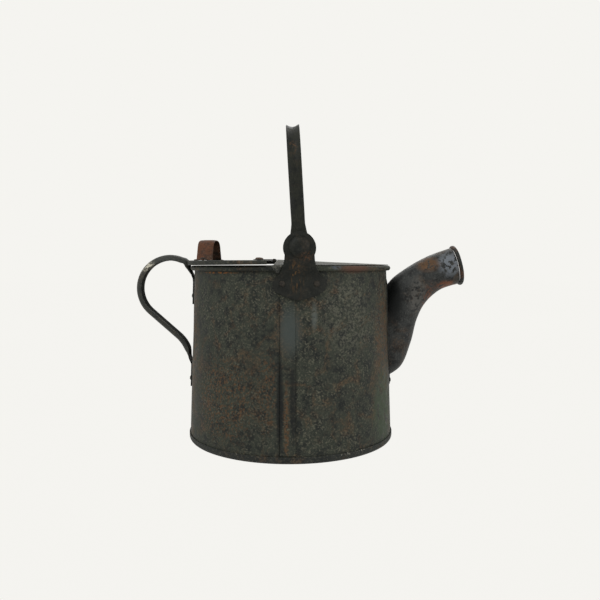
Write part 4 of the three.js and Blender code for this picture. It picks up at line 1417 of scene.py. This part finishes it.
@dataclass
class Bail:
    """The swinging bail: a gutter strip bent square, with a round eye at each end."""

    pivot: float = PIVOT_Z
    place_x: float = PIVOT_X
    leg: float = 119.2
    rise: float = 126.6
    corner: float = 46.0
    width: float = 14.9
    thick: float = 1.4
    gutter: float = 2.6
    neck: float = 27.0
    neck_foot: float = 9.5
    eye_radius: float = 13.7
    eye_hole: float = 4.35
    eye_thick: float = 1.55
    lean: float = 3.3

    def strip(self) -> bpy.types.Object:
        """Makes the gutter strip with its flattened, widening ends.

        Returns:
            The strip.
        """
        straight = even(self.neck_foot, self.rise - self.corner, 16)
        leg = [(-self.leg, z) for z in straight]
        bend = arc((-self.leg + self.corner, self.rise - self.corner), self.corner, 180, 90, 18)
        top = [(y, self.rise) for y in even(-self.leg + self.corner, 0, 6)]
        half = leg + bend[1:] + top[1:]
        path = half + [(-y, z) for y, z in reversed(half[:-1])]

        def section(share: float, height: float) -> list[Flat]:
            """The strip's section, flat and wide at the eye and a gutter above the neck."""
            deep = settled((height - self.neck_foot - 6) / (self.neck - self.neck_foot + 4))
            flare = 1 - settled((height - self.neck_foot) / 16)
            wide = (self.width - self.thick) / 2 * (1 + 0.3 * flare)
            return [(s * wide, self.gutter * deep * s * s) for s in even(-1, 1, 10)]

        rows = swept_rows(path, section)
        lifted = [[(across, y, z + self.pivot) for y, z, across in row] for row in rows]
        strip = loft("bail_strip", lifted)
        thicken(strip, self.thick)
        soften(strip, 0.55, 3)
        return strip

    def eye(self) -> bpy.types.Object:
        """Makes one round eye on the right-hand side.

        Returns:
            The eye.
        """
        profile = [(self.eye_hole, 0.0), (self.eye_radius * 0.6, 0.0), (self.eye_radius, 0.0)]
        eye = lathe("eye_right", profile, steps=64)
        thicken(eye, self.eye_thick)
        placed(eye, (0, -self.leg, self.pivot), (0, -1, 0))
        soften(eye, 0.3)
        return eye

    def build(self, dresser: Dresser) -> None:
        """Builds and dresses the bail, leaned as it rests.

        Args:
            dresser: Gives the pieces their finish.
        """
        eye = self.eye()
        bail = join("bail_loop", [self.strip(), eye, mirrored(eye, "eye_left")])
        open_all(bail)
        turn(-self.lean, "Y", (0, 0, self.pivot))
        bpy.ops.transform.translate(value=metres((self.place_x, 0, 0)))
        bpy.ops.object.mode_set(mode="OBJECT")
        smooth(bail)
        dresser.dress(bail, BAIL_FINISH, Rider.BAIL, "bail_handle")


@dataclass
class BackHandle:
    """The back handle: a half-round loop that flattens into a riveted strap at each end."""

    wall: Wall
    centre: Flat = (-143.5, 175.0)
    loop: float = 36.5
    width: float = 8.2
    depth: float = 6.1
    sheet: float = 1.4
    strap_gap: float = 1.3

    def against(self, height: float) -> float:
        """The X of the strap's middle line where it lies on the wall."""
        return -self.wall.radius(height) - self.strap_gap

    def path(self) -> list[Flat]:
        """Lists the middle line from the upper strap's end, round the loop, to the lower one's.

        Returns:
            Places as X and height.
        """
        upper = [(self.against(z), z) for z in (156.8, 166.0, 175.0, 183.0)]
        beside = [
            (-115.2, 187.5), (-117.0, 192.0), (-119.2, 196.0), (-120.6, 199.0), (-122.3, 202.0),
            (-123.0, 204.6), (-124.2, 206.4), (-126.0, 207.9),
        ]
        loop = arc(self.centre, self.loop, 68, 226, 34)
        foot_x, foot_z = -121.65, 95.0
        corner = (foot_x - 12, foot_z + 22.5)
        run = [
            (loop[-1][0] + (corner[0] - loop[-1][0]) * t, loop[-1][1] + (corner[1] - loop[-1][1]) * t)
            for t in (0.2, 0.4, 0.6, 0.8, 1.0)
        ]
        pull = (foot_x - 2.5, foot_z + 13)
        curve = []
        for t in (0.17, 0.34, 0.5, 0.67, 0.84, 1.0):
            shares = ((1 - t) ** 2, 2 * t * (1 - t), t * t)
            bends = zip(corner, pull, (foot_x, foot_z))
            curve.append(tuple(sum(a * b for a, b in zip(shares, trio)) for trio in bends))
        on_wall = [(self.against(z), z) for z in (85.5, 78.0, 68.0, 58.8)]
        lower = [(-120.9, 92.0), (-119.6, 89.0), *on_wall]
        return upper + beside + loop + run + curve + lower

    def build(self, dresser: Dresser) -> None:
        """Builds and dresses the handle.

        Args:
            dresser: Gives the pieces their finish.
        """

        def section(share: float, height: float) -> list[Flat]:
            """The handle's section: a flat strap at each end and half round between."""
            start, end = settled((share - 0.125) / 0.07), settled((0.875 - share) / 0.05)
            deep = 0.08 + 0.92 * min(start, end)
            out = []
            for degrees in even(180, 0, 12):
                angle = math.radians(degrees)
                out.append((math.cos(angle) * self.width, -(math.sin(angle) - 0.5) * self.depth * deep))
            return out

        rows = swept_rows(self.path(), section)
        handle = loft("grip_handle", [[(x, across, z) for x, z, across in row] for row in rows])
        thicken(handle, self.sheet)
        soften(handle, 0.5, 3)
        dresser.dress(handle, HANDLE_FINISH, Rider.CAN, "back_handle")


@dataclass
class Rivets:
    """Every rivet: three sizes modelled once, copied and set at their places."""

    wall: Wall
    ears: Ears
    lids: Lids
    rim: float = 202.5
    pivot: float = PIVOT_Z
    ear_face: float = 123.0
    ear_reach: float = 17.5
    ear_drop: float = 18.0
    strap_reach: float = 31.56
    strap_top: float = 210.0
    handle_heights: tuple[tuple[str, float], ...] = (("top", 166.5), ("bottom", 67.4))
    handle_stand: float = 2.3
    spout_height: float = 65.1
    spout_stand: float = 1.1
    cover_leaf: Spot = (-1.9, 8.0, 208.9)
    lid_leaf: Spot = (-37.4, 14.0, 209.87)

    def rivet(
        self, name: str, shank: float, head: float, high: float, grip: float,
        tail: float, tail_high: float, hollow: float,
    ) -> bpy.types.Object:
        """Models a rivet on the Z axis, with its head standing on Z = 0.

        Args:
            name: The piece's name.
            shank: Shank radius.
            head: Head radius.
            high: Head height.
            grip: Length between the head and the tail.
            tail: Radius of the hammered tail.
            tail_high: Its height.
            hollow: Depth of the dent in the head's middle.

        Returns:
            The rivet.
        """
        profile = [
            (0.0, high - hollow), (head * 0.18, high - hollow * 0.85),
            (head * 0.34, high - hollow * 0.25),
            (head * 0.48, high), (head * 0.64, high * 0.90), (head * 0.80, high * 0.68),
            (head * 0.93, high * 0.36), (head, high * 0.10), (head * 0.985, 0.0), (shank, 0.0),
            (shank, -grip), (tail, -grip), (tail * 0.9, -grip - tail_high * 0.6),
            (0.0, -grip - tail_high),
        ]
        rivet = lathe(name, profile, steps=36)
        dent(rivet, high * 0.14, head * 0.55, lambda spot: settled(spot.z / high * 3))
        smooth(rivet, 50)
        return rivet

    def small(self) -> dict[str, tuple[Spot, Spot, Rider]]:
        """Lists the small rivets' places and directions by node.

        Returns:
            The place, the direction and the body of each.
        """
        spots: dict[str, tuple[Spot, Spot, Rider]] = {}
        for side in Side:
            for end, way in (("back", -1), ("front", 1)):
                x = self.ears.place_x + way * self.ear_reach
                z = self.rim - self.ear_drop
                y = side.value * (self.ears.inner(x, z) + self.ears.thick)
                spots[f"ear_rivet_{side.word}_{end}"] = ((x, y, z), (x, y, 0), Rider.CAN)
            x, y, z = self.cover_leaf
            spots[f"cover_leaf_rivet_{side.word}"] = ((x, side.value * y, z), (0, 0, 1), Rider.CAN)
            out, angle = side.value * self.strap_reach, math.radians(self.lids.strap_turn)
            place = (self.lids.strap_x + out * math.sin(angle), out * math.cos(angle), self.strap_top)
            spots[f"strap_rivet_{side.word}"] = (place, (0, 0, 1), Rider.LID)
        for end, z in self.handle_heights:
            place = (-self.wall.radius(z) - self.handle_stand, 0, z)
            spots[f"handle_rivet_{end}"] = (place, (-1, 0, 0), Rider.CAN)
        place = (self.wall.radius(self.spout_height) + self.spout_stand, 0, self.spout_height)
        spots["spout_flange_rivet"] = (place, (1, 0, 0), Rider.CAN)
        return spots

    def build(self, dresser: Dresser) -> None:
        """Models, copies, sets and dresses the rivets.

        Args:
            dresser: Gives the pieces their finish.
        """
        first = self.rivet("small_rivet", 1.5, 3.2, 1.8, 2.9, 2.5, 0.9, 0.25)
        for node, (place, along, rider) in self.small().items():
            rivet = copied(first, node.replace("rivet", "stud"))
            placed(rivet, place, along)
            dresser.dress(rivet, RIVET_FINISH, rider, node)
        bpy.data.objects.remove(first)
        leaf = self.rivet("leaf_rivet", 1.5, 4.2, 2.2, 2.2, 2.7, 0.9, 0.2)
        pivot = self.rivet("pivot_rivet", 4.0, 11.0, 4.5, 6.1, 6.0, 1.6, 1.1)
        for side in Side:
            stud = copied(leaf, f"lid_leaf_stud_{side.word}")
            placed(stud, (self.lid_leaf[0], side.value * self.lid_leaf[1], self.lid_leaf[2]), (0, 0, 1))
            dresser.dress(stud, LID_RIVET_FINISH, Rider.LID, f"lid_leaf_rivet_{side.word}")
            boss = copied(pivot, f"pivot_boss_{side.word}")
            centre = (self.ears.place_x, side.value * self.ear_face, self.pivot)
            placed(boss, centre, (0, side.value, 0))
            dresser.dress(boss, BLACK_FINISH, Rider.CAN, f"pivot_rivet_{side.word}")
        bpy.data.objects.remove(leaf)
        bpy.data.objects.remove(pivot)


# ---- Studio ----------------------------------------------------------------------------------


@dataclass
class Studio:
    """The pale floor, the soft light and the camera."""

    backdrop: Colour = (0.913, 0.905, 0.871)
    camera_place: Spot = (10.6, -732.0, 205.5)
    heading: float = 0.04
    down: float = 3.46
    focal_share: float = 612 / 600
    sensor: float = 36.0
    lamps: tuple[tuple[str, Spot, float, float], ...] = (
        ("soft_key", (-900.0, -1100.0, 1500.0), 1300.0, 16.0),
        ("soft_fill", (1300.0, -700.0, 700.0), 1200.0, 7.0),
        ("soft_back", (300.0, 1300.0, 1300.0), 1200.0, 8.0),
    )

    def floor(self) -> None:
        """Lays the floor."""
        clear_bench()
        bpy.ops.mesh.primitive_plane_add(size=12, location=(0, 0, 0))
        floor = bpy.context.object
        floor.name = "studio_floor"
        mix = Brew("pale_floor")
        tone = mix.mix(mix.noise(900.0, 1.0), self.backdrop, tuple(c * 0.995 for c in self.backdrop))
        mix.put(mix.shader.inputs["Base Color"], (0.0, 0.0, 0.0))
        mix.put(mix.shader.inputs["Emission Color"], tone)
        mix.shader.inputs["Emission Strength"].default_value = 1.0
        mix.shader.inputs["Roughness"].default_value = 1.0
        mix.shader.inputs["Specular IOR Level"].default_value = 0.0
        floor.data.materials.append(mix.material)

    def light(self) -> None:
        """Lights the backdrop and hangs the soft lamps."""
        scene = bpy.context.scene
        world = bpy.data.worlds.new("pale_studio")
        world.use_nodes = True
        background = world.node_tree.nodes["Background"]
        background.inputs["Color"].default_value = (*self.backdrop, 1.0)
        background.inputs["Strength"].default_value = 1.0
        scene.world = world
        scene.view_settings.view_transform = "Standard"
        for name, place, size, power in self.lamps:
            lamp = bpy.data.lights.new(name, "AREA")
            lamp.shape = "DISK"
            lamp.size = size * MM
            lamp.energy = power
            holder = bpy.data.objects.new(name, lamp)
            holder.location = metres(place)
            aim = Vector((0, 0, 0.15)) - Vector(holder.location)
            holder.rotation_euler = aim.to_track_quat("-Z", "Y").to_euler()
            scene.collection.objects.link(holder)

    def camera(self) -> None:
        """Sets up the camera."""
        data = bpy.data.cameras.new("studio_camera")
        data.sensor_width = self.sensor
        data.lens = self.sensor * self.focal_share
        data.clip_end = 50.0
        holder = bpy.data.objects.new("studio_camera", data)
        holder.location = metres(self.camera_place)
        holder.rotation_euler = (math.radians(90 - self.down), 0.0, -math.radians(self.heading))
        bpy.context.scene.collection.objects.link(holder)
        bpy.context.scene.camera = holder

    def build(self) -> None:
        """Builds the whole studio."""
        self.floor()
        self.light()
        self.camera()


def main() -> None:
    """Builds the can from the frame, in order."""
    logging.basicConfig(level=logging.INFO, format="%(message)s")
    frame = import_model()
    nodes = frame["nodes"]
    wall = Wall()
    dresser = Dresser()
    spout = Spout(wall)
    ears = Ears(wall)
    Studio().build()
    BodyShell(wall).build(dresser, nodes, spout)
    spout.build(dresser, nodes)
    lids = Lids(wall)
    lids.build(dresser, nodes)
    ears.build(dresser, nodes)
    Bail().build(dresser)
    BackHandle(wall).build(dresser)
    Rivets(wall, ears, lids).build(dresser)
    clear_bench()


if __name__ == "__main__":
    main()
